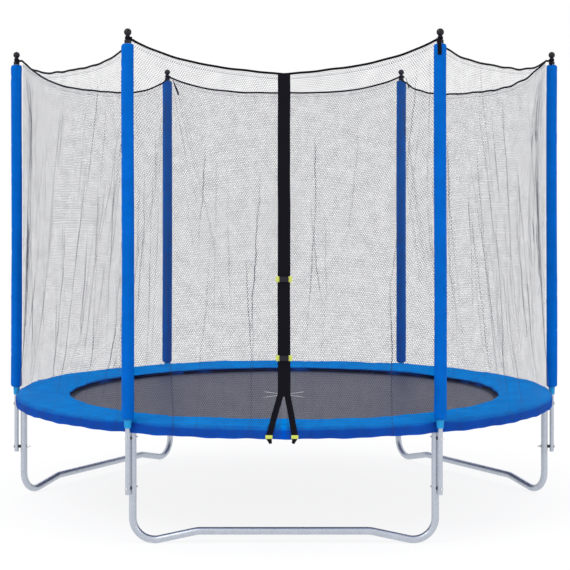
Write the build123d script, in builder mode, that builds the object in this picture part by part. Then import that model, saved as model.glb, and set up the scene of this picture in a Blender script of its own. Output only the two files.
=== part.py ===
from build123d import *
import os
from math import atan2, cos, radians, sin, tan

# Round trampoline with a safety net. Millimetres, +Z up, origin on the floor under the centre.
# The entrance of the net faces -Y. Leg 1 stands on +X and the legs count round towards +Y.

os.makedirs("parts", exist_ok=True)

# Round frame
leg_count = 6
leg_step = 360 / leg_count
rail_radius = 1506
rail_height = 571
tube_radius = 19
tube_wall = 1.5
rail_end_angle = 6
rail_gap_angle = 0.03
rail_step_angle = 0.2
spigot_angle = 2.3
spigot_height = 50
fit_gap = 0.3
socket_bottom = 500
socket_radius = 18.6
extension_bottom = 250
spigot_radius = tube_radius - tube_wall - fit_gap
step_height = 3

# W-shaped legs
foot_bend_radius = 110
foot_rise_angle = 12
bar_half_length = 430
bar_bend_radius = 150

# Net poles and what fastens them
pole_radius = 12.5
pole_wall = 1.2
spacer_length = 11.5
pole_offset = rail_radius + tube_radius + spacer_length + pole_radius
pole_bottom = 248
pole_joint = 1400
pole_spigot_bottom = 1340
pole_top = 2499
bolt_heights = (277, 526)
bolt_radius = 3.9
bolt_hole_radius = 4.2
bolt_inner_end = 1467
bolt_head_radius = 9
bolt_head_height = 4.5
nut_half_flats = 6.5
nut_height = 6.4
washer_radius = 8.5
washer_thickness = 1.6
spacer_radius = 9

# Foam sleeves, cuffs and caps
sleeve_bottom = 622
sleeve_top = 2484
sleeve_radius = 33
sleeve_fabric = 2.7
foam_radius = 30
cuff_radius = 19
cuff_bottom = 578
collar_radius = 17
collar_bottom = 2486
neck_radius = 11
neck_top = 2524
ball_radius = 19
cap_top = 2560

# Jumping mat and springs
mat_radius = 1220
mat_bottom = 573
mat_thickness = 2.5
hem_outer_radius = 1292
hem_thickness = 3.5
spring_count = 60
spring_height = 576
spring_radius = 9.5
spring_wire = 1.4
spring_inner = 1331
spring_outer = 1472
spring_hole_radius = 3
spring_hole_angle = 35
spring_hook_drop = 11
spring_hook_rise = 5
ring_hook_radius = 1313
rail_hook_reach = 8
rail_hook_end = 25
ring_apex = 1324
ring_half_width = 18
ring_wire = 4
ring_drop = 0.8

# Safety pad
pad_inner_radius = 1226
pad_outer_radius = 1527.2
pad_bottom = 593
pad_top = 615
pad_shoulder_radius = 14
skirt_bottom = 552
skirt_thickness = 1.5

# Net: an arc at the pad and a straight chord between the pole tops, cut along a sagging line
net_radius = 1514
net_thickness = 1.5
net_foot = 624
net_head = 2525
net_bottom = 545
net_band_radius = 1528.65
net_band_corner = 609.92
net_shoulder = 618.38
net_shoulder_radii = (15.45, 4)
net_edge_angle = leg_step / 2 - 0.02
pole_line_height = 2500
sag_power = 3.3
sag_steps = 12
outline_margin = 60
front_pull = 0.095
front_middle_height = 2327
tape_thickness = 3
tape_height = 11
chord_half = net_radius * sin(radians(leg_step / 2))

# Entrance: zip, flap, tails and buckles on the front net
zip_half_gap = 12
fork_height = 763.5
flap_width = 62
flap_offset = 6
flap_thickness = 1.5
flap_top = 2338
zip_bottom = 768
zip_top = 2322
slider_height = 788
tail_width = 30
tail_height = 564
tail_end = 531
left_tail_x = -72.5
right_tail_x = 52.5
tail_end_width = 12
tail_end_turn = 10
tail_thickness = 1.8
loop_height = 22
loop_overhang = 2
buckle_heights = (938, 1320)
buckle_offset = 8.2

# Zip: two tapes, two rows of teeth, and a slider whose wedge runs between the rows
zip_tape_edges = (3.2, 16)
zip_tape_offsets = (1.05, 2.05)
zip_teeth_edges = (0.7, 3)
zip_teeth_offsets = (0.2, 2.9)
slider_half_width = 7
slider_half_length = 9
slider_front = (3.3, 4.6)
slider_back = (-3.5, -0.2)
slider_wedge_half = 0.4
lug_half_width = 1.5
lug_half_length = 4
lug_offset = -5.6
lug_hole_radius = 1.6
pull_pin_radius = 1.2
pull_half_width = 5
pull_arm_width = 1.8
pull_half_thickness = 1
pull_hole_length = 12
pull_length = 42

# Side-release buckles, measured across the entrance and out from the flap
buckle_half_height = 13
buckle_depth = 9
socket_left = -22
socket_right = 8
socket_cavity_half_height = 10.5
socket_window = (-12, -2)
plug_left = 8.4
plug_right = 22
prong_rise = (2.4, 6.6)
prong_left = -12
prong_right = 9
prong_spacing = 8.2
prong_half_width = 1.7
guide_left = -8
guide_half_width = 1.8
tab_inner = 22.3
tab_outer = 40
tab_thickness = 2

# Ties on the caps
tie_bottom = 2505
tie_height = 15
tie_gap = 0.4
tie_ring_radius = 15
tie_thickness = 2
# For each pole: the way the loose end points, seen from above, its length and its width
tie_ends = [(250, 25, 14), (20, 70, 9), (0, 115, 12), (290, 22, 14), (0, 20, 18), (255, 80, 20)]
door_lean = atan2(net_radius * (1 - cos(radians(leg_step / 2))), net_head - net_foot)


# Planes that the pieces are drawn on

def radial_plane(angle):
    """Upright plane through the centre: x runs outwards and y runs up."""
    turn = radians(angle)
    return Plane(origin=(0, 0, 0), x_dir=(cos(turn), sin(turn), 0), z_dir=(sin(turn), -cos(turn), 0))


def facing_plane(angle, distance):
    """Upright plane that faces outwards at a distance from the centre: y runs up."""
    turn = radians(angle)
    middle = (distance * cos(turn), distance * sin(turn), 0)
    return Plane(origin=middle, x_dir=(-sin(turn), cos(turn), 0), z_dir=(cos(turn), sin(turn), 0))


def door_plane(offset):
    """Plane on the front net at the entrance: x runs right and y runs up along the net."""
    outward = (0, -cos(door_lean), sin(door_lean))
    return Plane(origin=(0, -net_radius, net_foot), x_dir=(1, 0, 0), z_dir=outward).offset(offset)


def along_door(height):
    """Distance up along the net to a point at this height."""
    return (height - net_foot) / cos(door_lean)


def door_point(along, offset):
    """A point of the entrance as (y, z)."""
    y = -net_radius + along * sin(door_lean) - offset * cos(door_lean)
    return (y, net_foot + along * cos(door_lean) + offset * sin(door_lean))


def save(node, name):
    """Label a finished piece and write it."""
    node.label = name
    export_step(node, f"parts/{name}.step")


def save_ring(first, name, angles):
    """Write copies of one piece round the centre as numbered nodes."""
    for number, angle in enumerate(angles, start=1):
        save(first.rotate(Axis.Z, angle), f"{name}_{number}")


leg_angles = [leg_step * index for index in range(leg_count)]


# Shapes that several pieces share

def tube(outer, inner, centre_x, bottom, top):
    """Upright tube on the +X side."""
    with BuildSketch(Plane.XY.offset(bottom)) as section:
        with Locations((centre_x, 0)):
            Circle(outer)
            Circle(inner, mode=Mode.SUBTRACT)
    extrude(section.sketch, amount=top - bottom)


def rail_tube(outer, inner, start_angle, turn):
    """Stretch of curved tube along the round frame."""
    with BuildSketch(radial_plane(start_angle)) as section:
        with Locations((rail_radius, rail_height)):
            Circle(outer)
            Circle(inner, mode=Mode.SUBTRACT)
    revolve(section.sketch, axis=Axis.Z, revolution_arc=turn)


def bolt_holes(angle, heights, inner, outer):
    """Holes along the radius for the bolts that hold a pole to its leg."""
    with BuildSketch(facing_plane(angle, inner)) as holes:
        with Locations(*[(0, height) for height in heights]):
            Circle(bolt_hole_radius)
    extrude(holes.sketch, amount=outer - inner, mode=Mode.SUBTRACT)


# Round frame: six curved tubes with holes for the springs, each with a welded leg socket and
# one narrowed end that slips into the next tube

hole_inner = rail_radius - 2 * tube_radius
hole_outer = rail_radius + 2 * tube_radius
rail_start = rail_end_angle - leg_step
rail_end = rail_end_angle - rail_gap_angle
spring_step = 360 / spring_count
springs_per_rail = spring_count // leg_count

with BuildPart() as spring_hole_pins:
    inward = cos(radians(spring_hole_angle))
    upward = sin(radians(spring_hole_angle))
    for index in range(springs_per_rail):
        turn = radians(rail_start + spring_step * (index + 0.5))
        middle = (rail_radius * cos(turn), rail_radius * sin(turn), rail_height)
        towards_middle = (-inward * cos(turn), -inward * sin(turn), upward)
        with BuildSketch(Plane(origin=middle, z_dir=towards_middle)):
            Circle(spring_hole_radius)
    extrude(amount=tube_radius + 1)

with BuildPart() as rail:
    tube(socket_radius, spigot_radius + fit_gap / 2, rail_radius, socket_bottom, rail_height)
    with BuildSketch(radial_plane(rail_start)):
        with Locations((rail_radius, rail_height)):
            Circle(tube_radius)
    revolve(axis=Axis.Z, revolution_arc=rail_end - rail_start)
    with BuildSketch(radial_plane(rail_start)):
        with Locations((rail_radius, rail_height)):
            Circle(tube_radius - tube_wall)
    revolve(axis=Axis.Z, revolution_arc=rail_end - rail_start, mode=Mode.SUBTRACT)
    rail_tube(tube_radius, spigot_radius - tube_wall, rail_end - rail_step_angle, rail_step_angle)
    rail_tube(spigot_radius, spigot_radius - tube_wall, rail_end - rail_step_angle / 2, spigot_angle)
    bolt_holes(0, bolt_heights[1:], hole_inner, hole_outer)
    add(spring_hole_pins.part, mode=Mode.SUBTRACT)
save_ring(rail.part, "top_rail", leg_angles)


# Legs: three bent tubes that stand on two low feet each, and six straight extensions

chord_distance = rail_radius * cos(radians(leg_step / 2))
leg_x = rail_radius * sin(radians(leg_step / 2))
rise = radians(foot_rise_angle)
foot_corner = foot_bend_radius + tube_radius - foot_bend_radius * (1 + sin(rise)) / cos(rise)
bar_height = foot_corner + (leg_x - bar_half_length) * tan(rise)
leg_plane = Plane.XZ.offset(chord_distance)
leg_points = [
    (-leg_x, extension_bottom),
    (-leg_x, foot_corner),
    (-bar_half_length, bar_height),
    (bar_half_length, bar_height),
    (leg_x, foot_corner),
    (leg_x, extension_bottom),
]
leg_bends = [foot_bend_radius, bar_bend_radius, bar_bend_radius, foot_bend_radius]


def leg_spigot(x):
    """Narrowed top of a leg, inside its extension."""
    foot_plane = Plane.XY.offset(extension_bottom - step_height)
    for outer, length in ((tube_radius - tube_wall / 2, step_height), (spigot_radius, spigot_height)):
        with BuildSketch(foot_plane) as section:
            with Locations((x, -chord_distance)):
                Circle(outer)
                Circle(spigot_radius - tube_wall, mode=Mode.SUBTRACT)
        extrude(section.sketch, amount=length)


with BuildPart() as w_leg:
    with BuildLine(leg_plane) as leg_path:
        FilletPolyline(*leg_points, radius=leg_bends)
    with BuildSketch(Plane(origin=leg_path.line @ 0, z_dir=leg_path.line % 0)):
        Circle(tube_radius)
    sweep(path=leg_path.line)
    with BuildSketch(Plane(origin=leg_path.line @ 0, z_dir=leg_path.line % 0)):
        Circle(tube_radius - tube_wall)
    sweep(path=leg_path.line, mode=Mode.SUBTRACT)
    for x in (-leg_x, leg_x):
        leg_spigot(x)
    for side_angle in (-90 - leg_step / 2, -90 + leg_step / 2):
        bolt_holes(side_angle, bolt_heights[:1], hole_inner, hole_outer)
save_ring(w_leg.part, "w_leg", [2 * leg_step * index for index in range(leg_count // 2)])

with BuildPart() as leg_extension:
    top = socket_bottom - fit_gap
    tube(tube_radius, tube_radius - tube_wall, rail_radius, extension_bottom + fit_gap, top)
    tube(tube_radius, spigot_radius - tube_wall, rail_radius, top - step_height, top)
    tube(spigot_radius, spigot_radius - tube_wall, rail_radius, top - step_height, top + spigot_height)
    bolt_holes(0, bolt_heights, hole_inner, hole_outer)
with BuildPart() as leg_extensions:
    with PolarLocations(0, leg_count):
        add(leg_extension.part)
save(leg_extensions.part, "leg_extensions")


# Net poles: a lower and an upper tube, joined by the narrowed foot of the upper one

with BuildPart() as lower_pole:
    tube(pole_radius, pole_radius - pole_wall, pole_offset, pole_bottom, pole_joint - fit_gap)
    bolt_holes(0, bolt_heights, pole_offset - 2 * pole_radius, pole_offset + 2 * pole_radius)
save_ring(lower_pole.part, "lower_pole", leg_angles)

pole_spigot_radius = pole_radius - pole_wall - fit_gap
with BuildPart() as upper_pole:
    tube(pole_radius, pole_radius - pole_wall, pole_offset, pole_joint, pole_top)
    tube(pole_radius, pole_spigot_radius - pole_wall, pole_offset, pole_joint, pole_joint + step_height)
    spigot_inner = pole_spigot_radius - pole_wall
    tube(pole_spigot_radius, spigot_inner, pole_offset, pole_spigot_bottom, pole_joint + 1)
with BuildPart() as upper_poles:
    with PolarLocations(0, leg_count):
        add(upper_pole.part)
save(upper_poles.part, "upper_poles")


# Fasteners: long bolts through pole, spacer and leg, with a washer and a nut inside the ring

def radial_disc(radius, hole, inner, outer):
    """Round or ring-shaped disc at each bolt height, from one radius of the frame to another."""
    with BuildSketch(facing_plane(0, inner)) as discs:
        with Locations(*[(0, height) for height in bolt_heights]):
            Circle(radius)
            if hole:
                Circle(hole, mode=Mode.SUBTRACT)
    extrude(discs.sketch, amount=outer - inner)


bolt_head_face = pole_offset + pole_radius + fit_gap
with BuildPart() as bolt_pair:
    radial_disc(bolt_head_radius, 0, bolt_head_face, bolt_head_face + bolt_head_height)
    fillet(bolt_pair.faces().sort_by(Axis.X)[-2:].edges(), radius=bolt_head_height - 1)
    radial_disc(bolt_radius, 0, bolt_inner_end, bolt_head_face)
with BuildPart() as carriage_bolts:
    with PolarLocations(0, leg_count):
        add(bolt_pair.part)
save(carriage_bolts.part, "carriage_bolts")

washer_outer = rail_radius - tube_radius - fit_gap
nut_outer = washer_outer - washer_thickness - fit_gap
with BuildPart() as washer_pair:
    radial_disc(washer_radius, bolt_hole_radius, washer_outer - washer_thickness, washer_outer)
with BuildPart() as washers:
    with PolarLocations(0, leg_count):
        add(washer_pair.part)
save(washers.part, "washers")

with BuildPart() as nut_pair:
    with BuildSketch(facing_plane(0, nut_outer - nut_height)):
        with Locations(*[(0, height) for height in bolt_heights]):
            RegularPolygon(nut_half_flats, 6, major_radius=False)
            Circle(bolt_hole_radius, mode=Mode.SUBTRACT)
    extrude(amount=nut_height)
with BuildPart() as nuts:
    with PolarLocations(0, leg_count):
        add(nut_pair.part)
save(nuts.part, "nuts")

with BuildPart() as spacer_pair:
    radial_disc(spacer_radius, bolt_hole_radius, rail_radius + tube_radius / 2, pole_offset)
    with BuildSketch(Plane.XY):
        with Locations((rail_radius, 0)):
            Circle(tube_radius + fit_gap)
        with Locations((pole_offset, 0)):
            Circle(pole_radius + fit_gap)
    extrude(amount=socket_bottom * 2, mode=Mode.SUBTRACT)
with BuildPart() as pole_spacers:
    with PolarLocations(0, leg_count):
        add(spacer_pair.part)
save(pole_spacers.part, "pole_spacers")


# Sleeves: foam tubes inside fabric covers, with a narrow cuff below each one

with BuildPart() as sleeve:
    tube(sleeve_radius, sleeve_radius - sleeve_fabric, pole_offset, sleeve_bottom, sleeve_top)
    tube(sleeve_radius, pole_radius + fit_gap, pole_offset, sleeve_top - sleeve_fabric, sleeve_top)
save_ring(sleeve.part, "sleeve", leg_angles)

foam_top = sleeve_top - sleeve_fabric - fit_gap
with BuildPart() as foam_tube:
    tube(foam_radius, pole_radius + fit_gap, pole_offset, sleeve_bottom + 2, foam_top)
with BuildPart() as foam_tubes:
    with PolarLocations(0, leg_count):
        add(foam_tube.part)
save(foam_tubes.part, "foam_tubes")

with BuildPart() as cuff:
    tube(cuff_radius, pole_radius + fit_gap, pole_offset, cuff_bottom, sleeve_bottom - fit_gap)
with BuildPart() as sleeve_cuffs:
    with PolarLocations(0, leg_count):
        add(cuff.part)
save(sleeve_cuffs.part, "sleeve_cuffs")


# Caps: a collar over the pole, a neck that the net is tied to, and a ball

with BuildPart() as cap:
    with BuildSketch(radial_plane(0)):
        with BuildLine():
            Polyline(
                (pole_offset, pole_top + fit_gap),
                (pole_offset + pole_radius + fit_gap, pole_top + fit_gap),
                (pole_offset + pole_radius + fit_gap, collar_bottom),
                (pole_offset + collar_radius, collar_bottom),
                (pole_offset + collar_radius, pole_top + step_height),
                (pole_offset + neck_radius, pole_top + 2 * step_height),
                (pole_offset + neck_radius, neck_top),
                (pole_offset, neck_top),
                (pole_offset, pole_top + fit_gap),
            )
        make_face()
    revolve(axis=Axis((pole_offset, 0, 0), (0, 0, 1)))
    with Locations((pole_offset, 0, cap_top - ball_radius)):
        Sphere(ball_radius)
with BuildPart() as pole_caps:
    with PolarLocations(0, leg_count):
        add(cap.part)
save(pole_caps.part, "pole_caps")


# Ties: a strap round each neck, out to the corner of the net, with one loose end

def tie_end(x, y, heading, length, width):
    """Strap over the shoulder of the sleeve and down its side."""
    reach = sleeve_radius + tie_gap + tie_thickness
    turn = radians(heading)
    across = Plane(origin=(x, y, 0), x_dir=(cos(turn), sin(turn), 0), z_dir=(0, 0, 1))
    with BuildSketch(across.offset(tie_bottom)) as shoulder_strap:
        with Locations(((reach + neck_radius) / 2 + 1, 0)):
            Rectangle(reach - neck_radius - 2, width)
    extrude(shoulder_strap.sketch, amount=tie_thickness)
    with BuildSketch(across.offset(tie_bottom + tie_thickness)) as hanging_strap:
        with Locations((reach - tie_thickness / 2, 0)):
            Rectangle(tie_thickness, width)
    extrude(hanging_strap.sketch, amount=-length)


with BuildPart() as pole_ties:
    for leg_angle, (heading, length, width) in zip(leg_angles, tie_ends):
        pole_x = pole_offset * cos(radians(leg_angle))
        pole_y = pole_offset * sin(radians(leg_angle))
        tie_end(pole_x, pole_y, heading, length, width)
        with BuildSketch(Plane.XY.offset(tie_bottom)):
            with Locations((pole_x, pole_y)):
                Circle(tie_ring_radius)
        extrude(amount=tie_height)
        inward = radial_plane(leg_angle)
        strap_middle = (net_radius + tape_thickness + pole_offset - neck_radius) / 2
        with BuildSketch(Plane(origin=(0, 0, tie_bottom), x_dir=inward.x_dir, z_dir=(0, 0, 1))):
            with Locations((strap_middle, 0)):
                Rectangle(pole_offset - neck_radius - net_radius - tape_thickness, tie_ring_radius)
        extrude(amount=tie_height / 2)
        with BuildSketch(Plane.XY.offset(tie_bottom)):
            with Locations((pole_x, pole_y)):
                Circle(neck_radius + tie_gap)
        extrude(amount=tie_height, mode=Mode.SUBTRACT)
save(pole_ties.part, "pole_ties")


# Jumping mat: woven disc, webbing hem and the triangular rings that the springs pull on

with BuildPart() as jumping_mat:
    with BuildSketch(Plane.XY.offset(mat_bottom)):
        Circle(mat_radius)
    extrude(amount=mat_thickness)
save(jumping_mat.part, "jumping_mat")

with BuildPart() as mat_hem:
    with BuildSketch(Plane.XY.offset(mat_bottom - (hem_thickness - mat_thickness) / 2)):
        Circle(hem_outer_radius)
        Circle(mat_radius + fit_gap, mode=Mode.SUBTRACT)
    extrude(amount=hem_thickness)
save(mat_hem.part, "mat_hem")

ring_bottom = mat_bottom - ring_drop
with BuildPart() as v_ring:
    with BuildSketch(Plane.XY.offset(ring_bottom)):
        with BuildLine():
            Polyline(
                (hem_outer_radius + 1, -ring_half_width),
                (ring_apex, -ring_wire),
                (ring_apex, ring_wire),
                (hem_outer_radius + 1, ring_half_width),
                close=True,
            )
        make_face()
        offset(amount=1 - ring_wire, mode=Mode.SUBTRACT)
    extrude(amount=ring_wire)
with BuildPart() as v_rings:
    with PolarLocations(0, spring_count, start_angle=spring_step / 2):
        add(v_ring.part)
save(v_rings.part, "v_rings")


# Springs: a coil with a hook at each end, one hook in a ring of the mat and one in the rail

def hook(points):
    """Bent wire in the upright plane of a spring."""
    with BuildLine(radial_plane(0)) as hook_path:
        FilletPolyline(*points, radius=1.5 * spring_wire)
    with BuildSketch(Plane(origin=hook_path.line @ 0, z_dir=hook_path.line % 0)) as wire:
        Circle(spring_wire)
    sweep(wire.sketch, path=hook_path.line)


def cross_bar(distance):
    """Last turn of the coil, bent across its end, a little thicker so that the hooks end inside it."""
    half_length = spring_radius - 1
    with BuildSketch(Plane.XY.offset(spring_height - half_length)) as wire:
        with Locations((distance, 0)):
            Circle(1.15 * spring_wire)
    extrude(wire.sketch, amount=2 * half_length)


outer_bar = spring_outer - spring_wire
inner_bar = spring_inner + spring_wire


def hole_line(distance):
    """Point on the line through a spring hole of the rail."""
    return (distance, rail_height + (rail_radius - distance) * tan(radians(spring_hole_angle)))


hook_top = spring_height + spring_hook_rise
with BuildPart() as spring:
    with BuildSketch(facing_plane(0, spring_inner)):
        with Locations((0, spring_height)):
            Circle(spring_radius)
            Circle(spring_radius - 2 * spring_wire, mode=Mode.SUBTRACT)
    extrude(amount=spring_outer - spring_inner)
    cross_bar(inner_bar)
    cross_bar(outer_bar)
    hook([
        (outer_bar, spring_height),
        hole_line(spring_outer + rail_hook_reach),
        hole_line(spring_outer + rail_hook_end),
    ])
    hook([
        (inner_bar, spring_height),
        (inner_bar - 2, hook_top),
        (ring_hook_radius, hook_top),
        (ring_hook_radius - 1, hook_top - spring_hook_drop),
    ])
with BuildPart() as springs:
    with PolarLocations(0, spring_count, start_angle=spring_step / 2):
        add(spring.part)
save(springs.part, "springs")


# Safety pad: foam ring over the springs, with a skirt down the outside of the rail

with BuildPart() as safety_pad:
    with BuildSketch(radial_plane(0)):
        with BuildLine():
            shoulder = pad_outer_radius - pad_shoulder_radius
            Polyline(
                (shoulder, pad_top),
                (pad_inner_radius, pad_top),
                (pad_inner_radius, pad_bottom),
                (pad_outer_radius - skirt_thickness, pad_bottom),
                (pad_outer_radius - skirt_thickness, skirt_bottom),
                (pad_outer_radius, skirt_bottom),
                (pad_outer_radius, pad_top - pad_shoulder_radius),
            )
            CenterArc((shoulder, pad_top - pad_shoulder_radius), pad_shoulder_radius, 0, 90)
        make_face()
    revolve(axis=Axis.Z)
save(safety_pad.part, "safety_pad")


# Net: seven panels inside the poles, down over the outside of the skirt

def net_sag(across, middle, pull):
    """Height of the top edge: flat in the middle, steep beside the poles, drawn down by the entrance."""
    lift = pole_line_height - middle - pull * chord_half
    share = abs(across) / chord_half
    return middle + pull * abs(across) + lift * share ** sag_power


def net_wall(thickness):
    """Wall of one panel facing +X, from an arc at the foot to a straight chord at the head."""
    inner = net_radius - thickness / 2
    outer = net_radius + thickness / 2
    side = radians(net_edge_angle)
    with BuildSketch(Plane.XY.offset(net_foot)) as foot:
        with BuildLine():
            CenterArc((0, 0), outer, -net_edge_angle, 2 * net_edge_angle)
            CenterArc((0, 0), inner, -net_edge_angle, 2 * net_edge_angle)
            Line((inner * cos(side), inner * sin(side)), (outer * cos(side), outer * sin(side)))
            Line((inner * cos(side), -inner * sin(side)), (outer * cos(side), -outer * sin(side)))
        make_face()
    with BuildSketch(Plane.XY.offset(net_head)) as head:
        with BuildLine():
            Polyline(
                (outer * cos(side), -outer * sin(side)),
                (outer * cos(side), outer * sin(side)),
                (inner * cos(side), inner * sin(side)),
                (inner * cos(side), -inner * sin(side)),
                close=True,
            )
        make_face()
    loft([foot.sketch, head.sketch], ruled=True)


def net_band():
    """Foot of one panel: from the wall out over the shoulder of the pad and down the skirt."""
    with BuildSketch(radial_plane(-net_edge_angle)) as section:
        with BuildLine():
            FilletPolyline(
                (net_band_radius, net_bottom),
                (net_band_radius, net_band_corner),
                (net_radius, net_shoulder),
                (net_radius, net_foot),
                radius=net_shoulder_radii,
            )
        trace(line_width=net_thickness)
    revolve(section.sketch, axis=Axis.Z, revolution_arc=2 * net_edge_angle)


def sag_line(middle, pull, start, end, lift):
    """Points along the sagging edge, or along a line at a height over it."""
    line = [start + (end - start) * index / sag_steps for index in range(sag_steps + 1)]
    return [(across, net_sag(across, middle, pull) + lift) for across in line]


def keep_inside(outline):
    """Keep what lies inside an outline: a long list of points is a curve, a short one straight lines."""
    with BuildSketch(facing_plane(0, chord_distance - outline_margin)) as kept:
        with BuildLine():
            for points in outline:
                if len(points) > sag_steps / 2:
                    Spline(*points)
                else:
                    Polyline(*points)
        make_face()
    depth = net_radius - chord_distance + 2 * outline_margin
    extrude(kept.sketch, amount=depth, mode=Mode.INTERSECT)


panel_reach = chord_half + 3
below_net = net_bottom - 5


def net_panel(middle):
    """One whole panel facing +X."""
    with BuildPart() as panel:
        net_wall(net_thickness)
        net_band()
        edge = sag_line(middle, 0, -panel_reach, panel_reach, 0)
        corners = [(panel_reach, below_net), (-panel_reach, below_net)]
        keep_inside([edge, [edge[-1], *corners, edge[0]]])
    return panel.part


def front_net_half(side, tail_x):
    """Half the front panel, up to the zip above and to the tail below."""
    with BuildPart() as panel:
        net_wall(net_thickness)
        net_band()
        seam = side * zip_half_gap
        edge = sag_line(front_middle_height, front_pull, side * panel_reach, seam, 0)
        cut = [(seam, fork_height), (tail_x, net_bottom), (tail_x, below_net)]
        keep_inside([edge, [edge[-1], *cut, (side * panel_reach, below_net), edge[0]]])
    return panel.part


# Height of the top edge at the middle of each panel, counted round from the one between legs 1 and 2
panel_middles = {
    "net_panel_right_back": (30, 2357),
    "net_panel_back": (90, 2398),
    "net_panel_left_back": (150, 2368),
    "net_panel_left_front": (210, 2397),
    "net_panel_right_front": (330, 2420),
}
front_angle = 270
for name, (angle, middle) in panel_middles.items():
    save(net_panel(middle).rotate(Axis.Z, angle), name)
save(front_net_half(-1, left_tail_x).rotate(Axis.Z, front_angle), "net_panel_front_left")
save(front_net_half(1, right_tail_x).rotate(Axis.Z, front_angle), "net_panel_front_right")


def top_tape(middle, pull, start, end):
    """Binding along the top edge of one panel, or of half of it."""
    with BuildPart() as tape:
        net_wall(tape_thickness)
        upper = sag_line(middle, pull, start, end, tape_height)
        lower = sag_line(middle, pull, start, end, 2 * fit_gap)
        keep_inside([upper, lower, [upper[0], lower[0]], [upper[-1], lower[-1]]])
    return tape.part


with BuildPart() as net_top_tape:
    for angle, middle in panel_middles.values():
        add(top_tape(middle, 0, -panel_reach, panel_reach).rotate(Axis.Z, angle))
    for side in (-1, 1):
        half = top_tape(front_middle_height, front_pull, side * panel_reach, side * fit_gap)
        add(half.rotate(Axis.Z, front_angle))
save(net_top_tape.part, "net_top_tape")


# Entrance: a zip behind a flap, with two tails at its foot that tie the net down

def door_strip(left, right, bottom, top, inner, outer):
    """Flat strip that lies along the net at the entrance."""
    low = along_door(bottom)
    high = along_door(top)
    with BuildSketch(door_plane(inner)) as strip:
        with Locations(((left + right) / 2, (low + high) / 2)):
            Rectangle(right - left, high - low)
    extrude(strip.sketch, amount=outer - inner)


with BuildPart() as door_flap:
    flap_outer = flap_offset + flap_thickness
    door_strip(-flap_width / 2, flap_width / 2, fork_height, flap_top, flap_offset, flap_outer)
save(door_flap.part, "door_flap")

def mirrored_strips(edges, offsets):
    """One strip on each side of the zip."""
    near, far = edges
    for left, right in ((-far, -near), (near, far)):
        door_strip(left, right, zip_bottom, zip_top, *offsets)


with BuildPart() as zip_tapes:
    mirrored_strips(zip_tape_edges, zip_tape_offsets)
save(zip_tapes.part, "zip_tapes")

with BuildPart() as zip_teeth:
    mirrored_strips(zip_teeth_edges, zip_teeth_offsets)
save(zip_teeth.part, "zip_teeth")


def cross_pin(half_length, radius, mode=Mode.ADD):
    """Pin across the lug of the slider, or a hole for it."""
    with BuildSketch(Plane.YZ.offset(-half_length)) as pin:
        with Locations(door_point(along_door(slider_height), lug_offset)):
            Circle(radius)
    extrude(pin.sketch, amount=2 * half_length, mode=mode)


lug_outer = lug_offset - 2
lug_inner = slider_back[0] + 0.1
with BuildPart() as zip_slider:
    low = slider_height - slider_half_length
    high = slider_height + slider_half_length
    door_strip(-slider_half_width, slider_half_width, low, high, *slider_front)
    door_strip(-slider_half_width, slider_half_width, low, high, *slider_back)
    door_strip(-slider_wedge_half, slider_wedge_half, low, high, slider_back[1] - 0.1, slider_front[0] + 0.1)
    lug_low = slider_height - lug_half_length
    lug_high = slider_height + lug_half_length
    door_strip(-lug_half_width, lug_half_width, lug_low, lug_high, lug_outer, lug_inner)
    cross_pin(lug_half_width + 0.5, lug_hole_radius, Mode.SUBTRACT)
save(zip_slider.part, "zip_slider")

pull_inner = lug_offset - pull_half_thickness
pull_outer = lug_offset + pull_half_thickness
arm_edge = pull_half_width - pull_arm_width
with BuildPart() as zip_pull:
    cross_pin(pull_half_width, pull_pin_radius)
    low = slider_height - pull_hole_length
    high = slider_height + pull_pin_radius
    door_strip(-pull_half_width, -arm_edge, low, high, pull_inner, pull_outer)
    door_strip(arm_edge, pull_half_width, low, high, pull_inner, pull_outer)
    foot = slider_height - pull_length
    door_strip(-pull_half_width, pull_half_width, foot, low + 2, pull_inner, pull_outer)
save(zip_pull.part, "zip_pull")


def door_box(left, right, height, half_height, inner, outer, mode=Mode.ADD):
    """Block on the entrance, centred on a height."""
    with BuildSketch(door_plane(inner)) as block:
        with Locations(((left + right) / 2, along_door(height))):
            Rectangle(right - left, 2 * half_height)
    extrude(block.sketch, amount=outer - inner, mode=mode)


# Side-release buckles: a socket on the left, a plug with two prongs and a guide on the right

buckle_top = buckle_offset + buckle_depth
prong_low = buckle_offset + prong_rise[0]
prong_high = buckle_offset + prong_rise[1]
cavity_low = prong_low - fit_gap
cavity_high = prong_high + fit_gap
tab_half_height = buckle_half_height + 1
tab_top = buckle_offset + tab_thickness

with BuildPart() as buckle_sockets:
    for height in buckle_heights:
        door_box(socket_left, socket_right, height, buckle_half_height, buckle_offset, buckle_top)
        cavity_left = prong_left - 4
        cavity_half = socket_cavity_half_height
        door_box(cavity_left, socket_right, height, cavity_half, cavity_low, cavity_high, Mode.SUBTRACT)
        door_box(*socket_window, height, tab_half_height, cavity_low, cavity_high, Mode.SUBTRACT)
save(buckle_sockets.part, "buckle_sockets")

with BuildPart() as buckle_left_tabs:
    for height in buckle_heights:
        door_box(-tab_outer, -tab_inner, height, tab_half_height, buckle_offset, tab_top)
save(buckle_left_tabs.part, "buckle_left_tabs")


def buckle_plug(height):
    """Plug half of a buckle."""
    half_height = buckle_half_height - 0.5
    with BuildPart() as plug:
        door_box(plug_left, plug_right, height, half_height, buckle_offset + 0.4, buckle_top - 0.4)
        prong_middle = (prong_left + prong_right) / 2
        with BuildSketch(door_plane(prong_low)):
            middle = along_door(height)
            with Locations((prong_middle, middle - prong_spacing), (prong_middle, middle + prong_spacing)):
                Rectangle(prong_right - prong_left, 2 * prong_half_width)
        extrude(amount=prong_high - prong_low)
        door_box(guide_left, prong_right, height, guide_half_width, prong_low, prong_high)
    return plug.part


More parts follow.
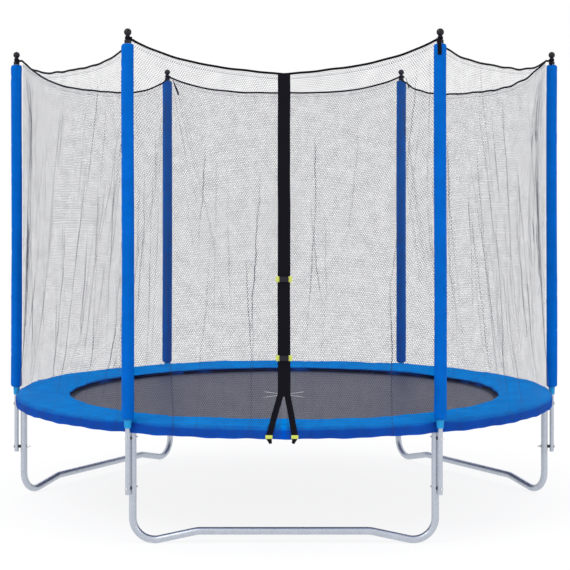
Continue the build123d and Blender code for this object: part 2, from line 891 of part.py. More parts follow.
def plug_tab(height):
    """Webbing tab sewn beside the plug."""
    with BuildPart() as tab:
        door_box(tab_inner, tab_outer, height, tab_half_height, buckle_offset, tab_top)
    return tab.part


for name, height in zip(("lower", "upper"), buckle_heights):
    save(buckle_plug(height), f"{name}_buckle_plug")
    save(plug_tab(height), f"{name}_plug_tab")


# Tails and the loops at their feet

tail_face = net_band_radius + net_thickness / 2 + tail_thickness / 2 + 0.4
tail_middle = flap_offset + flap_thickness / 2
tail_profile = [
    door_point(along_door(fork_height) - 0.5, tail_middle),
    door_point(10, tail_middle),
    (-tail_face, net_band_corner + 1),
    (-tail_face, tail_end),
]


side_cut = 120
front_cut = net_radius - 60
front_cut_depth = 120
fork_top = fork_height + 5


def door_tail(side, tail_x):
    """Strap from the fork out over the pad and down the skirt, with a narrow end."""
    end_x = tail_x - side * tail_end_turn
    with BuildPart() as tail:
        with BuildSketch(Plane.YZ.offset(-side_cut)):
            with BuildLine():
                FilletPolyline(*tail_profile, radius=15)
            trace(line_width=tail_thickness)
        extrude(amount=2 * side_cut)
        with BuildSketch(Plane.XZ.offset(front_cut)):
            with BuildLine():
                Polyline(
                    (side * 0.8, fork_top),
                    (side * flap_width / 2, fork_top),
                    (tail_x + side * tail_width / 2, tail_height),
                    (end_x + side * tail_end_width / 2, tail_end),
                    (end_x - side * tail_end_width / 2, tail_end),
                    (tail_x - side * tail_width / 2, tail_height),
                    close=True,
                )
            make_face()
        extrude(amount=front_cut_depth, mode=Mode.INTERSECT)
    return tail.part


with BuildPart() as door_tails:
    add(door_tail(-1, left_tail_x))
    add(door_tail(1, right_tail_x))
save(door_tails.part, "door_tails")

loop_inner = tail_face + tail_thickness / 2 + fit_gap
with BuildPart() as tail_loops:
    with BuildSketch(Plane.XZ.offset(loop_inner)):
        with Locations((left_tail_x, tail_height), (right_tail_x, tail_height)):
            Rectangle(tail_width + 2 * loop_overhang, loop_height)
    extrude(amount=tab_thickness)
save(tail_loops.part, "tail_loops")
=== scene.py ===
# %% [markdown]
# # A garden trampoline with a safety net
# The steel frame, the poles, the bolts and the buckles are imported solids, and they stay where they are. This
# lesson dresses them: it gives the steel its zinc, and it makes what a solid can't show, such as the
# knitted net, the padded ring, the sleeves, the woven mat and its coil springs.

# %% Load the frame
import math

import bpy
import numpy as np
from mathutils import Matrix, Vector


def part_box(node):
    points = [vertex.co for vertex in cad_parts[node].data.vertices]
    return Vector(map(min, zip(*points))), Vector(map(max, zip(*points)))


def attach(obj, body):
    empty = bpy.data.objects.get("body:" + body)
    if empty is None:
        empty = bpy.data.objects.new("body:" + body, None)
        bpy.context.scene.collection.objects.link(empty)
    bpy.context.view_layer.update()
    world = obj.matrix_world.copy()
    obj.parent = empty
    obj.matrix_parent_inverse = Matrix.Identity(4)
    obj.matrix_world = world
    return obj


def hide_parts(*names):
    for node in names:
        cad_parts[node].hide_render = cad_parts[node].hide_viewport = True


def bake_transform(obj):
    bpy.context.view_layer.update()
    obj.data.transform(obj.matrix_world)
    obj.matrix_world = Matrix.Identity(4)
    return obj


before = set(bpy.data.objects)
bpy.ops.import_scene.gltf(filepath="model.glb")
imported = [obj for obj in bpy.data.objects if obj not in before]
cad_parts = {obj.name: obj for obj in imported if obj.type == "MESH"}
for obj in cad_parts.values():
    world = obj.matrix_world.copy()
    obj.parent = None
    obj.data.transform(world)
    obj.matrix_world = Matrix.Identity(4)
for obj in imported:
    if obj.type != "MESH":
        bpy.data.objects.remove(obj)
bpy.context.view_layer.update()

# %% [markdown]
# ## Sizes
# Sizes are read from the frame where it gives them, so that the soft pieces fit their solids. The others are
# named beside the piece that they shape. The object is six-sided: six poles stand on a circle, and between two
# poles each thing repeats. A side of the net is named by the way that it faces, which is given as a heading in
# degrees from +X, turning towards +Y.

# %% Sizes of the frame
def low(node):
    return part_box(node)[0]


def high(node):
    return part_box(node)[1]


side_count = 6
side_step = 360 / side_count
pole_ring = (low("lower_pole_1").x + high("lower_pole_1").x) / 2
pole_tube = (high("lower_pole_1").x - low("lower_pole_1").x) / 2
sleeve_tube = high("sleeve_1").x - pole_ring
sleeve_foot, sleeve_head = low("sleeve_1").z, high("sleeve_1").z
mat_reach, mat_top = high("jumping_mat").x, high("jumping_mat").z
hem_reach, hem_top = high("mat_hem").x, high("mat_hem").z
pad_reach, pad_top, skirt_foot = high("safety_pad").x, high("safety_pad").z, low("safety_pad").z
net_foot, net_peak = low("net_panel_back").z, high("net_panel_back").z
net_foot = max(net_foot, skirt_foot + 0.004)
print("poles on a circle of", round(pole_ring, 4), "m, sleeves", round(2 * sleeve_tube, 3), "m thick")

# %% [markdown]
# ## Two ways to make a mesh
# `begin` clears the selection, because an operator acts on all that is selected. `cloth_grid` adds Blender's
# own grid primitive and then puts each of its points on a surface given by a formula, which is how every sheet
# here starts. Its UV map is rewritten in metres, so that a weave keeps its scale.

# %% Start an operator cleanly
def begin():
    if bpy.context.object and bpy.context.object.mode != "OBJECT":
        bpy.ops.object.mode_set(mode="OBJECT")
    bpy.ops.object.select_all(action="DESELECT")


def pick(piece):
    begin()
    piece.select_set(True)
    bpy.context.view_layer.objects.active = piece
    return piece


def points_of(piece):
    flat = np.zeros(len(piece.data.vertices) * 3)
    piece.data.vertices.foreach_get("co", flat)
    return flat.reshape(-1, 3)


def put_points(piece, points):
    piece.data.vertices.foreach_set("co", np.asarray(points, float).ravel())
    piece.data.update()


# %% A grid placed by a formula
def cloth_grid(name, columns, rows, place, width, length, joined=False):
    """A grid whose point at (u, v), each from 0 to 1, is put at place(u, v). Its UV map is width by length."""
    begin()
    bpy.ops.mesh.primitive_grid_add(x_subdivisions=columns, y_subdivisions=rows, size=2)
    piece = bpy.context.object
    piece.name = piece.data.name = name
    share = (points_of(piece)[:, :2] + 1) / 2
    put_points(piece, np.stack(place(share[:, 0], share[:, 1]), axis=1))
    corner = np.zeros(len(piece.data.loops), int)
    piece.data.loops.foreach_get("vertex_index", corner)
    piece.data.uv_layers.active.data.foreach_set("uv", (share[corner] * (width, length)).ravel())
    if joined:
        close_seams(piece)
    bpy.ops.object.shade_smooth()
    return piece


def close_seams(piece, gap=0.0002):
    pick(piece)
    bpy.ops.object.mode_set(mode="EDIT")
    bpy.ops.mesh.select_all(action="SELECT")
    bpy.ops.mesh.remove_doubles(threshold=gap)
    bpy.ops.mesh.normals_make_consistent(inside=False)
    bpy.ops.object.mode_set(mode="OBJECT")


# %% Modifiers that are applied at once
def thicken(piece, thickness):
    pick(piece)
    shell = piece.modifiers.new("thickness", "SOLIDIFY")
    shell.thickness = thickness
    shell.offset = 0
    bpy.ops.object.modifier_apply(modifier=shell.name)
    return piece


def soften(piece, width, segments=2, angle=40):
    pick(piece)
    edge = piece.modifiers.new("edge", "BEVEL")
    edge.width = width
    edge.segments = segments
    edge.limit_method = "ANGLE"
    edge.angle_limit = math.radians(angle)
    bpy.ops.object.modifier_apply(modifier=edge.name)
    bpy.ops.object.shade_smooth_by_angle(angle=math.radians(angle))
    return piece


def place_for_good(piece):
    pick(piece)
    bpy.ops.object.transform_apply(location=True, rotation=True, scale=True)
    return piece


def join(parts):
    begin()
    for part in parts:
        part.select_set(True)
    bpy.context.view_layer.objects.active = parts[0]
    bpy.ops.object.join()
    return bpy.context.object


# %% [markdown]
# ## Camera, light and floor
# The camera is level and looks along +Y from a standing person's eye height, so that upright poles look
# upright. A downward shift frames the feet instead of a downward tilt. The light is a white surround, a broad
# lamp and a fill lamp, and the floor glows enough to leave only a faint shadow.

# %% Camera
eye = bpy.data.cameras.new("eye")
eye.lens = 101.7
eye.sensor_width = 36
eye.shift_y = -0.1633
eye_holder = bpy.data.objects.new("eye", eye)
bpy.context.scene.collection.objects.link(eye_holder)
eye_holder.location = (0.005, -9.322, 1.749)
eye_holder.rotation_euler = (math.radians(90), 0, 0)
eye.clip_end = 200
bpy.context.scene.camera = eye_holder

# %% Light
bpy.context.scene.view_settings.view_transform = "Standard"
surround = bpy.data.worlds.new("surround")
surround.use_nodes = True
surround.node_tree.nodes["Background"].inputs["Color"].default_value = (1, 1, 1, 1)
surround.node_tree.nodes["Background"].inputs["Strength"].default_value = 1.0
bpy.context.scene.world = surround


def lamp(name, place, target, width, power):
    data = bpy.data.lights.new(name, "AREA")
    data.size = width
    data.energy = power
    holder = bpy.data.objects.new(name, data)
    holder.location = place
    holder.rotation_euler = (Vector(target) - Vector(place)).to_track_quat("-Z", "Y").to_euler()
    bpy.context.scene.collection.objects.link(holder)


lamp("broad lamp", (-4.5, -6.0, 7.0), (0, 0, 1), 3.5, 210)
lamp("fill lamp", (6.0, -5.0, 4.5), (0, 0, 1), 4.0, 70)

# %% Floor
begin()
bpy.ops.mesh.primitive_plane_add(size=120, location=(0, 0, -0.0005))
floor = bpy.context.object
floor.name = "floor"
floor_paint = bpy.data.materials.new("pale floor")
floor_paint.use_nodes = True
floor_shader = floor_paint.node_tree.nodes["Principled BSDF"]
floor_shader.inputs["Base Color"].default_value = (0.14, 0.14, 0.143, 1)
floor_shader.inputs["Roughness"].default_value = 0.9
floor_shader.inputs["Specular IOR Level"].default_value = 0.0
floor_shader.inputs["Emission Color"].default_value = (1, 1, 1, 1)
floor_shader.inputs["Emission Strength"].default_value = 0.865
floor.data.materials.append(floor_paint)
print("camera", tuple(round(x, 2) for x in eye_holder.location), "lens", eye.lens, "mm")

# %% [markdown]
# ## Finishes
# A finish is a small graph of nodes. `Finish` keeps one such graph short to write: `add` makes a node and
# connects whatever sockets it is given. Patterns read Object coordinates, or the piece's own UV map where a
# weave or a mesh has to follow the cloth.

# %% A helper for finishes
class Finish:
    def __init__(self, name, colour, roughness, **sockets):
        self.material = bpy.data.materials.new(name)
        self.material.use_nodes = True
        self.nodes = self.material.node_tree.nodes
        self.links = self.material.node_tree.links
        self.shader = self.nodes["Principled BSDF"]
        self.set(self.shader, {"Base Color": (*colour, 1), "Roughness": roughness, **sockets})
        self.coordinates = self.nodes.new("ShaderNodeTexCoord").outputs
        self.uv = self.coordinates["UV"]
        self.place = self.coordinates["Object"]

    def set(self, node, values):
        for key, value in values.items():
            if isinstance(value, bpy.types.NodeSocket):
                self.links.new(value, node.inputs[key])
            else:
                node.inputs[key].default_value = value

    def add(self, kind, values, output=0, **settings):
        node = self.nodes.new("ShaderNode" + kind)
        for key, value in settings.items():
            setattr(node, key, value)
        self.set(node, values)
        return node.outputs[output]

    def maths(self, operation, *values):
        return self.add("Math", dict(enumerate(values)), operation=operation)

    def spread(self, vector, scale, detail=2.0, rough=0.5):
        """A cloud pattern about 0.5."""
        return self.add("TexNoise", {"Vector": vector, "Scale": scale, "Detail": detail, "Roughness": rough})

    def stretched(self, vector, scale):
        return self.add("Mapping", {"Vector": vector, "Scale": scale})

    def split(self, vector):
        """The x, y and z of a vector, as three sockets."""
        node = self.nodes.new("ShaderNodeSeparateXYZ")
        self.links.new(vector, node.inputs[0])
        return node.outputs

    def ramp(self, value, low, high, to_low=0.0, to_high=1.0):
        return self.add("MapRange", {"Value": value, "From Min": low, "From Max": high,
                                     "To Min": to_low, "To Max": to_high})

    def mix(self, share, first, second):
        colours = {6: (*first, 1) if isinstance(first, tuple) else first,
                   7: (*second, 1) if isinstance(second, tuple) else second}
        return self.add("Mix", {0: share, **colours}, output=2, data_type="RGBA")

    def bump(self, height, depth, strength=1.0):
        """Turns a height from 0 to 1 into a bump that is depth metres high."""
        normal = self.add("Bump", {"Height": height, "Distance": depth, "Strength": strength})
        self.links.new(normal, self.shader.inputs["Normal"])

    def give(self, *pieces):
        for piece in pieces:
            piece.data.materials.clear()
            piece.data.materials.append(self.material)


# %% [markdown]
# ### Zinc on steel tube
# Hot-dip zinc freezes into crystals, so galvanised tube is grey with faint flakes a few millimetres across,
# and it is a little duller where rain has run down it. The flakes are a Voronoi pattern on Object coordinates,
# and they change both the colour and the gloss. The nuts, bolts and springs have a thinner, brighter plating.

# %% Galvanised and zinc-plated steel
def galvanised_finish(name, tint, metal, flake_scale, roughness):
    zinc = Finish(name, tint, roughness, Metallic=metal)
    flakes = zinc.add("TexVoronoi", {"Vector": zinc.place, "Scale": flake_scale}, output=1)
    flake = zinc.add("SeparateColor", {"Color": flakes})
    streaks = zinc.spread(zinc.stretched(zinc.place, (30, 30, 3)), 1.0, 4)
    grain = zinc.spread(zinc.place, 700, 2)
    dull = tuple(0.78 * part for part in tint)
    tone = zinc.maths("ADD", zinc.maths("MULTIPLY", flake, 0.45), zinc.maths("MULTIPLY", streaks, 0.55))
    zinc.set(zinc.shader, {"Base Color": zinc.mix(tone, dull, tuple(min(1, 1.1 * part) for part in tint)),
                           "Roughness": zinc.ramp(tone, 0.2, 0.8, roughness + 0.12, roughness - 0.08)})
    zinc.bump(grain, 0.00008)
    return zinc


galvanised = galvanised_finish("galvanised steel", (0.52, 0.56, 0.63), 0.85, 240, 0.36)
plated = galvanised_finish("zinc-plated steel", (0.66, 0.66, 0.68), 1.0, 500, 0.30)
tube_nodes = [f"top_rail_{n}" for n in range(1, 7)] + [f"w_leg_{n}" for n in range(1, 4)]
tube_nodes += ["leg_extensions", "upper_poles"] + [f"lower_pole_{n}" for n in range(1, 7)]
galvanised.give(*[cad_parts[name] for name in tube_nodes])
plated.give(*[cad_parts[name] for name in ("carriage_bolts", "nuts", "washers", "v_rings")])
print("steel finish on", len(tube_nodes) + 4, "frame pieces")

# %% [markdown]
# ### Moulded black plastic
# Caps, spacers and buckles are moulded in black plastic with a fine spark-eroded grain and a soft gloss.

# %% Black plastic and zip metal
plastic = Finish("moulded black plastic", (0.012, 0.012, 0.014), 0.38, **{"Specular IOR Level": 0.25})
plastic_grain = plastic.spread(plastic.place, 900, 3)
plastic.set(plastic.shader, {"Roughness": plastic.ramp(plastic_grain, 0.3, 0.7, 0.30, 0.48),
                             "Base Color": plastic.mix(
                                 plastic_grain, (0.005, 0.004, 0.008), (0.016, 0.014, 0.024))})
plastic.bump(plastic_grain, 0.00006)
plastic_nodes = ("pole_spacers", "pole_caps", "buckle_sockets", "upper_buckle_plug", "lower_buckle_plug")
plastic.give(*[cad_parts[name] for name in plastic_nodes])

zip_metal = Finish("zip metal", (0.30, 0.30, 0.32), 0.32, Metallic=1.0)
zip_wear = zip_metal.spread(zip_metal.place, 400, 3)
zip_metal.set(zip_metal.shader, {"Roughness": zip_metal.ramp(zip_wear, 0.3, 0.7, 0.22, 0.45),
                                 "Base Color": zip_metal.mix(
                                     zip_wear, (0.22, 0.22, 0.24), (0.42, 0.42, 0.44))})
zip_metal.give(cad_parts["zip_slider"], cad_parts["zip_pull"])
print("plastic on", len(plastic_nodes), "frame pieces")

# %% [markdown]
# ## The safety net
# The net is knitted mesh, held up at the six poles by a binding along its top edge and pulled over the outside
# of the pad at its foot. At the pad it follows the circle, and at the top it goes straight from pole to pole,
# so each side is a surface between an arc and a chord. One cloth grid per side follows that surface, or two on
# the side with the door. No cloth simulation is used: folds are laid in by moving points, because gathered
# mesh shows mostly as fine dark creases.

# %% Where the net hangs
net_ring = 1.514
pad_line = 0.624
chord_line = 2.525
band_ring = 1.5287
band_line = 0.601
half_side = net_ring * math.sin(math.radians(side_step / 2))
chord_ring = net_ring * math.cos(math.radians(side_step / 2))
pole_line = net_peak
sag_power = 3.3
# side: heading, height of the middle of the top edge, straight pull towards a point in the middle
sides = {
    "front": (270, 2.327, 0.095),
    "right_front": (330, 2.420, 0.0),
    "right_back": (30, 2.357, 0.0),
    "back": (90, 2.398, 0.0),
    "left_back": (150, 2.368, 0.0),
    "left_front": (210, 2.397, 0.0),
}


def top_edge(side, across):
    """The height of the net's top edge, across metres from the middle of that side."""
    _, middle, pull = sides[side]
    near = np.abs(across) / half_side
    rest = pole_line - middle - pull * half_side
    return middle + pull * half_side * near + rest * near ** sag_power


def skirt_bulge(from_pole):
    """How far the skirt and the net over it belly out, at some degrees from the pole that pins them."""
    return 0.0065 * (1 - np.exp(-(from_pole / 3.5) ** 2))


def wall_out(across, height):
    """How far the net's wall is from the centre, measured square to its side."""
    risen = np.clip((height - pad_line) / (chord_line - pad_line), 0, 1)
    wall = (1 - risen) * np.sqrt(net_ring ** 2 - across ** 2) + risen * chord_ring
    tuck = np.clip((pad_line - height) / (pad_line - band_line), 0, 1)
    tuck = tuck * tuck * (3 - 2 * tuck)
    from_pole = side_step / 2 - np.degrees(np.arcsin(np.clip(np.abs(across) / band_ring, 0, 1)))
    band = np.sqrt(band_ring ** 2 - across ** 2) + skirt_bulge(from_pole)
    return (1 - tuck) * wall + tuck * band


def on_side(heading, across, out, height):
    """Turns a place on a side into x, y and z."""
    turn = math.radians(heading)
    x = out * math.cos(turn) - across * math.sin(turn)
    y = out * math.sin(turn) + across * math.cos(turn)
    return x, y, height + 0 * x


# %% Folds
def fold_lines(seed, count, spread_out, short, long):
    """Creases of one side: where each starts, how it leans, how long and how deep it is."""
    draw = np.random.default_rng(seed)
    lines = []
    for number in range(count):
        from_pole = number % 5 < spread_out
        hand = draw.choice((-1, 1))
        start = hand * half_side * (draw.uniform(0.90, 0.985) if from_pole else draw.uniform(0.05, 0.9))
        lean = -hand * (draw.uniform(0.02, 0.24) if from_pole else draw.uniform(-0.06, 0.10))
        lines.append({
            "start": start,
            "lean": lean,
            "curve": draw.uniform(-0.03, 0.05) * hand,
            "head": 0.02 if from_pole else draw.uniform(0.0, 1.1),
            "reach": draw.uniform(short, long),
            "depth": draw.uniform(0.003, 0.010),
            "width": draw.uniform(0.004, 0.009),
            "wobble": draw.uniform(0.003, 0.012),
            "phase": draw.uniform(0, 6.28),
            "dark": draw.uniform(0.25, 1.0) * (0.5 if from_pole else 1),
        })
    return lines


def folds(lines, across, drop):
    """How far the folds push the net inwards, and how doubled up it is, drop metres below the top edge."""
    inward = np.zeros_like(across)
    doubled = np.zeros_like(across)
    for line in lines:
        along = (drop - line["head"]) / line["reach"]
        shown = np.clip(along * 8, 0, 1) * np.clip((1 - along) * 2.5, 0, 1)
        shown = shown * (0.75 + 0.25 * np.sin(9 * drop + line["phase"]))
        fallen = np.clip(drop - line["head"], 0, 3)
        centre = line["start"] + line["lean"] * fallen + line["curve"] * fallen ** 2
        centre = centre + line["wobble"] * np.sin(5.3 * drop + line["phase"])
        centre = centre + 0.3 * line["wobble"] * np.sin(17 * drop + 2 * line["phase"])
        centre = centre + 0.16 * line["wobble"] * np.sin(47 * drop + 3 * line["phase"])
        off = (across - centre) / line["width"]
        inward += shown * line["depth"] * np.exp(-off ** 2)
        doubled = np.maximum(doubled, line["dark"] * shown * np.exp(-(off * line["width"] / 0.0022) ** 2))
    return inward, doubled


def gathers(seed, across, drop):
    """Broad soft waves down the net."""
    draw = np.random.default_rng(seed + 500)
    wave = np.zeros_like(across)
    for length, depth in ((0.31, 0.006), (0.17, 0.004), (0.093, 0.0026), (0.052, 0.0014)):
        drift = draw.uniform(-0.5, 0.5)
        phase = draw.uniform(0, 6.28)
        slow = 0.6 + 0.4 * np.sin(2.1 * drop + phase)
        wave += depth * slow * np.sin(6.283 * (across + drift * 0.1 * drop) / length + phase)
    return wave + 0.0125


# %% The mesh of the net
def net_finish():
    """Knitted mesh: six-sided holes whose threads thicken where the net is doubled into a crease."""
    net = Finish("knitted net", (0.022, 0.026, 0.060), 0.6, **{"Specular IOR Level": 0.2})
    hole = 0.011
    tall = hole * math.sqrt(3)
    mask_of = []
    for shift in (0.0, 0.5):
        moved = net.add("VectorMath", {0: net.uv, 1: (shift * hole, shift * tall, 0)}, operation="ADD")
        cell = net.add("VectorMath", {0: moved, 1: (hole, tall, 1), 2: (0, 0, 0)}, operation="WRAP")
        centred = net.add("VectorMath", {0: cell, 1: (hole / 2, tall / 2, 0)}, operation="SUBTRACT")
        away = net.add("VectorMath", {0: centred}, operation="ABSOLUTE")
        flat = net.add("VectorMath", {0: away, 1: (1, 0, 0)}, output=1, operation="DOT_PRODUCT")
        slant = net.add("VectorMath", {0: away, 1: (0.5, math.sqrt(3) / 2, 0)}, output=1,
                        operation="DOT_PRODUCT")
        mask_of.append(net.maths("MAXIMUM", flat, slant))
    edge = net.maths("MINIMUM", *mask_of)
    to_thread = net.maths("SUBTRACT", hole / 2, edge)
    crease = net.add("Attribute", {}, output=2, attribute_name="doubled")
    uneven = net.spread(net.uv, 14, 3)
    thread = net.ramp(uneven, 0.35, 0.65, 0.00046, 0.00070)
    thread = net.maths("ADD", thread, net.maths("MULTIPLY", crease, 0.0032))
    drop = net.add("Attribute", {}, output=2, attribute_name="drop")
    sewn = net.maths("LESS_THAN", net.maths("ABSOLUTE", net.maths("SUBTRACT", drop, 0.020)), 0.0018)
    hemmed = net.maths("LESS_THAN", drop, 0.020)
    thread = net.maths("ADD", thread, net.maths("MULTIPLY", sewn, 0.0012))
    thread = net.maths("ADD", thread, net.maths("MULTIPLY", hemmed, 0.00012))
    solid = net.maths("LESS_THAN", to_thread, thread)
    clear = net.add("BsdfTransparent", {})
    shown = net.add("MixShader", {0: solid, 1: clear, 2: net.shader.outputs[0]})
    net.links.new(shown, net.nodes["Material Output"].inputs["Surface"])
    return net


knitted = net_finish()

# %% Hang the panels
net_columns = 400
net_rows = 110
door_half = 0.012


def hang_panel(name, side, start, end, seed, lines):
    heading = sides[side][0]
    columns = round(net_columns * (end - start) / (2 * half_side))
    kept = {}

    def place(u, v):
        across = start + (end - start) * u
        top = top_edge(side, across)
        height = net_foot + (top - net_foot) * v
        drop = top - height
        inward, doubled = folds(lines, across, drop)
        inward = inward + gathers(seed, across, drop)
        edges = np.clip((half_side - np.abs(across)) / 0.10, 0, 1) * np.clip(drop / 0.12, 0, 1)
        if side == "front":
            edges = edges * np.clip((np.abs(across) - door_half) / 0.08, 0, 1)
        edges = edges * np.clip((height - pad_line - 0.01) / 0.25, 0, 1)
        kept["doubled"] = doubled * np.clip((half_side - np.abs(across)) / 0.02, 0, 1)
        kept["drop"] = drop
        return on_side(heading, across, wall_out(across, height) - inward * edges, height)

    piece = cloth_grid(name, columns, net_rows, place, end - start, pole_line - net_foot)
    for key, values in kept.items():
        mark = piece.data.attributes.new(key, "FLOAT", "POINT")
        mark.data.foreach_set("value", values.astype(np.float32))
    knitted.give(piece)
    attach(piece, "frame")
    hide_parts("net_panel_" + name.removeprefix("net_"))
    return piece


panels = []
for seed, side in enumerate(sides, start=1):
    busy = side in ("left_front", "right_front", "left_back", "right_back")
    lines = fold_lines(seed, 40 if busy else 10, 2, 0.5, 1.9)
    if side == "front":
        panels.append(hang_panel("net_front_left", side, -half_side, -door_half, seed, lines))
        panels.append(hang_panel("net_front_right", side, door_half, half_side, seed, lines))
    else:
        panels.append(hang_panel("net_" + side, side, -half_side, half_side, seed, lines))
print(len(panels), "net panels,", sum(len(panel.data.polygons) for panel in panels), "squares")

# %% [markdown]
# ## Woven finishes
# Webbing, binding, sleeves and cuffs are all woven, so one function makes the cloth and the colours differ. Two
# sine waves across the UV map cross to make the warp and weft. The weave lifts the surface, a cloud makes the
# dye a little uneven, and a finish with a stitch width gets rows of stitches near each edge.

# %% Woven cloth
def woven_finish(name, colour, thread, roughness, depth, stitch_width=0.0, stitch_colour=None, **sockets):
    cloth = Finish(name, colour, roughness, **sockets)
    parts = cloth.split(cloth.uv)
    turns = 2 * math.pi / (2 * thread)
    warp = cloth.maths("SINE", cloth.maths("MULTIPLY", parts[0], turns))
    weft = cloth.maths("SINE", cloth.maths("MULTIPLY", parts[1], turns))
    crossing = cloth.ramp(cloth.maths("MULTIPLY", warp, weft), -1, 1)
    cloud = cloth.spread(cloth.uv, 9, 5, 0.6)
    tone = cloth.maths("ADD", cloth.maths("MULTIPLY", crossing, 0.35), cloth.maths("MULTIPLY", cloud, 0.65))
    dark = tuple(0.72 * part for part in colour)
    light = tuple(min(1, 1.25 * part) for part in colour)
    dyed = cloth.mix(cloth.ramp(tone, 0.2, 0.8), dark, light)
    height = crossing
    if stitch_width:
        edge = cloth.maths("PINGPONG", parts[1], stitch_width / 2)
        row = cloth.maths("LESS_THAN", cloth.maths("ABSOLUTE", cloth.maths("SUBTRACT", edge, 0.003)), 0.0005)
        dash = cloth.maths("LESS_THAN", cloth.maths("FRACT", cloth.maths("DIVIDE", parts[0], 0.004)), 0.7)
        stitched = cloth.maths("MULTIPLY", row, dash)
        dyed = cloth.mix(stitched, dyed, stitch_colour)
        height = cloth.maths("SUBTRACT", crossing, cloth.maths("MULTIPLY", row, 2.0))
    cloth.set(cloth.shader, {"Base Color": dyed})
    cloth.bump(height, depth)
    return cloth


webbing_black = woven_finish("black webbing", (0.0035, 0.003, 0.007), 0.0012, 0.62, 0.00025,
                             stitch_width=0.0635, stitch_colour=(0.016, 0.015, 0.026),
                             **{"Specular IOR Level": 0.08})
binding_black = woven_finish("black binding", (0.003, 0.003, 0.006), 0.0008, 0.6, 0.0002,
                             **{"Specular IOR Level": 0.08})
webbing_yellow = woven_finish("yellow-green webbing", (0.62, 0.68, 0.10), 0.0011, 0.6, 0.0003,
                              stitch_width=0.018, stitch_colour=(0.75, 0.78, 0.35))
print("woven finishes ready")

# %% [markdown]
# ## Binding on the net's top edge
# A woven binding is sewn along the top edge and carries the net's weight. It hangs in the same line as the
# edge, but it isn't as true: it rises and dips by a few millimetres where the net pulls on it. It is a closed
# strip, so the grid is wrapped round its section and its seam is merged.

# %% A closed strip along a line
def upright(t):
    """A width that points straight up, for `across` below."""
    return 0 * t, 0 * t, 0 * t + 1


def strip(name, line, across, width, thickness, columns, finish, taper=None):
    """A closed flat strip. For t from 0 to 1, line(t) is its middle and across(t) the way its width points."""
    around = 12
    whole_turn = np.linspace(0, 2 * math.pi, 400)
    rim_wide = np.sign(np.cos(whole_turn)) * np.abs(np.cos(whole_turn)) ** 0.45 * width / 2
    rim_deep = np.sign(np.sin(whole_turn)) * np.abs(np.sin(whole_turn)) ** 0.75 * thickness / 2
    walked = np.concatenate([[0], np.cumsum(np.hypot(np.diff(rim_wide), np.diff(rim_deep)))])
    length = float(np.linalg.norm(np.diff(np.stack(line(np.linspace(0, 1, 60)), 1), axis=0), axis=1).sum())

    def place(u, v):
        turn = 2 * math.pi * v
        t = u
        middle = np.stack(line(t), 1)
        step = 1e-4
        ahead = np.stack(line(np.clip(t + step, 0, 1)), 1) - np.stack(line(np.clip(t - step, 0, 1)), 1)
        ahead /= np.linalg.norm(ahead, axis=1, keepdims=True)
        side = np.stack(across(t), 1)
        side -= (side * ahead).sum(1, keepdims=True) * ahead
        side /= np.linalg.norm(side, axis=1, keepdims=True)
        face = np.cross(ahead, side)
        wide = np.sign(np.cos(turn)) * np.abs(np.cos(turn)) ** 0.45 * width / 2
        deep = np.sign(np.sin(turn)) * np.abs(np.sin(turn)) ** 0.75 * thickness / 2
        if taper:
            wide = wide * taper(t)
        spot = middle + wide[:, None] * side + deep[:, None] * face
        return spot[:, 0], spot[:, 1], spot[:, 2]

    piece = cloth_grid(name, columns, around, place, length, 2 * math.pi, joined=True)
    cut = np.zeros(len(piece.data.loops) * 2)
    piece.data.uv_layers.active.data.foreach_get("uv", cut)
    cut[1::2] = np.interp(cut[1::2], whole_turn, walked)
    piece.data.uv_layers.active.data.foreach_set("uv", cut)
    close_ends(piece)
    finish.give(piece)
    return piece


def close_ends(piece):
    pick(piece)
    bpy.ops.object.mode_set(mode="EDIT")
    bpy.ops.mesh.select_all(action="DESELECT")
    bpy.ops.mesh.select_mode(type="EDGE")
    bpy.ops.mesh.select_non_manifold()
    bpy.ops.mesh.edge_face_add()
    bpy.ops.mesh.select_all(action="SELECT")
    bpy.ops.mesh.normals_make_consistent(inside=False)
    bpy.ops.object.mode_set(mode="OBJECT")


# %% Sew the binding
binding_height = 0.0115
binding_thickness = 0.003


def bind_edge(name, side, start, end, seed, loose):
    heading = sides[side][0]
    draw = np.random.default_rng(seed)
    waves = [(draw.uniform(0.12, 0.35), draw.uniform(0, 6.28), loose * draw.uniform(0.4, 1))
             for _ in range(4)]

    def line(t):
        across = start + (end - start) * t
        held = np.clip((half_side - np.abs(across)) / 0.08, 0, 1)
        dip = sum(size * np.sin(6.283 * across / length + phase) for length, phase, size in waves)
        height = top_edge(side, across) + binding_height / 2 + dip * held
        return on_side(heading, across, wall_out(across, height), height)

    piece = strip(name, line, upright, binding_height, binding_thickness, 160, binding_black)
    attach(piece, "frame")
    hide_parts("net_top_tape")
    return piece


bindings = []
for seed, side in enumerate(sides, start=21):
    loose = 0.0016 if side in ("right_back", "right_front", "left_front") else 0.0006
    if side == "front":
        bindings.append(bind_edge("binding_front_left", side, -half_side, -0.0004, seed, loose))
        bindings.append(bind_edge("binding_front_right", side, 0.0004, half_side, seed, loose))
    else:
        bindings.append(bind_edge("binding_" + side, side, -half_side, half_side, seed, loose))
print(len(bindings), "lengths of binding")

# %% [markdown]
# ## Creases in covers
# A coated cover over foam keeps small creases where it was folded and where it is pulled. Each crease here is
# a short ridge with its own place, direction, length and depth, stamped onto the surface before its points
# are placed. Stamps are quick, come out the same each run, and can be crowded where a cover gathers.

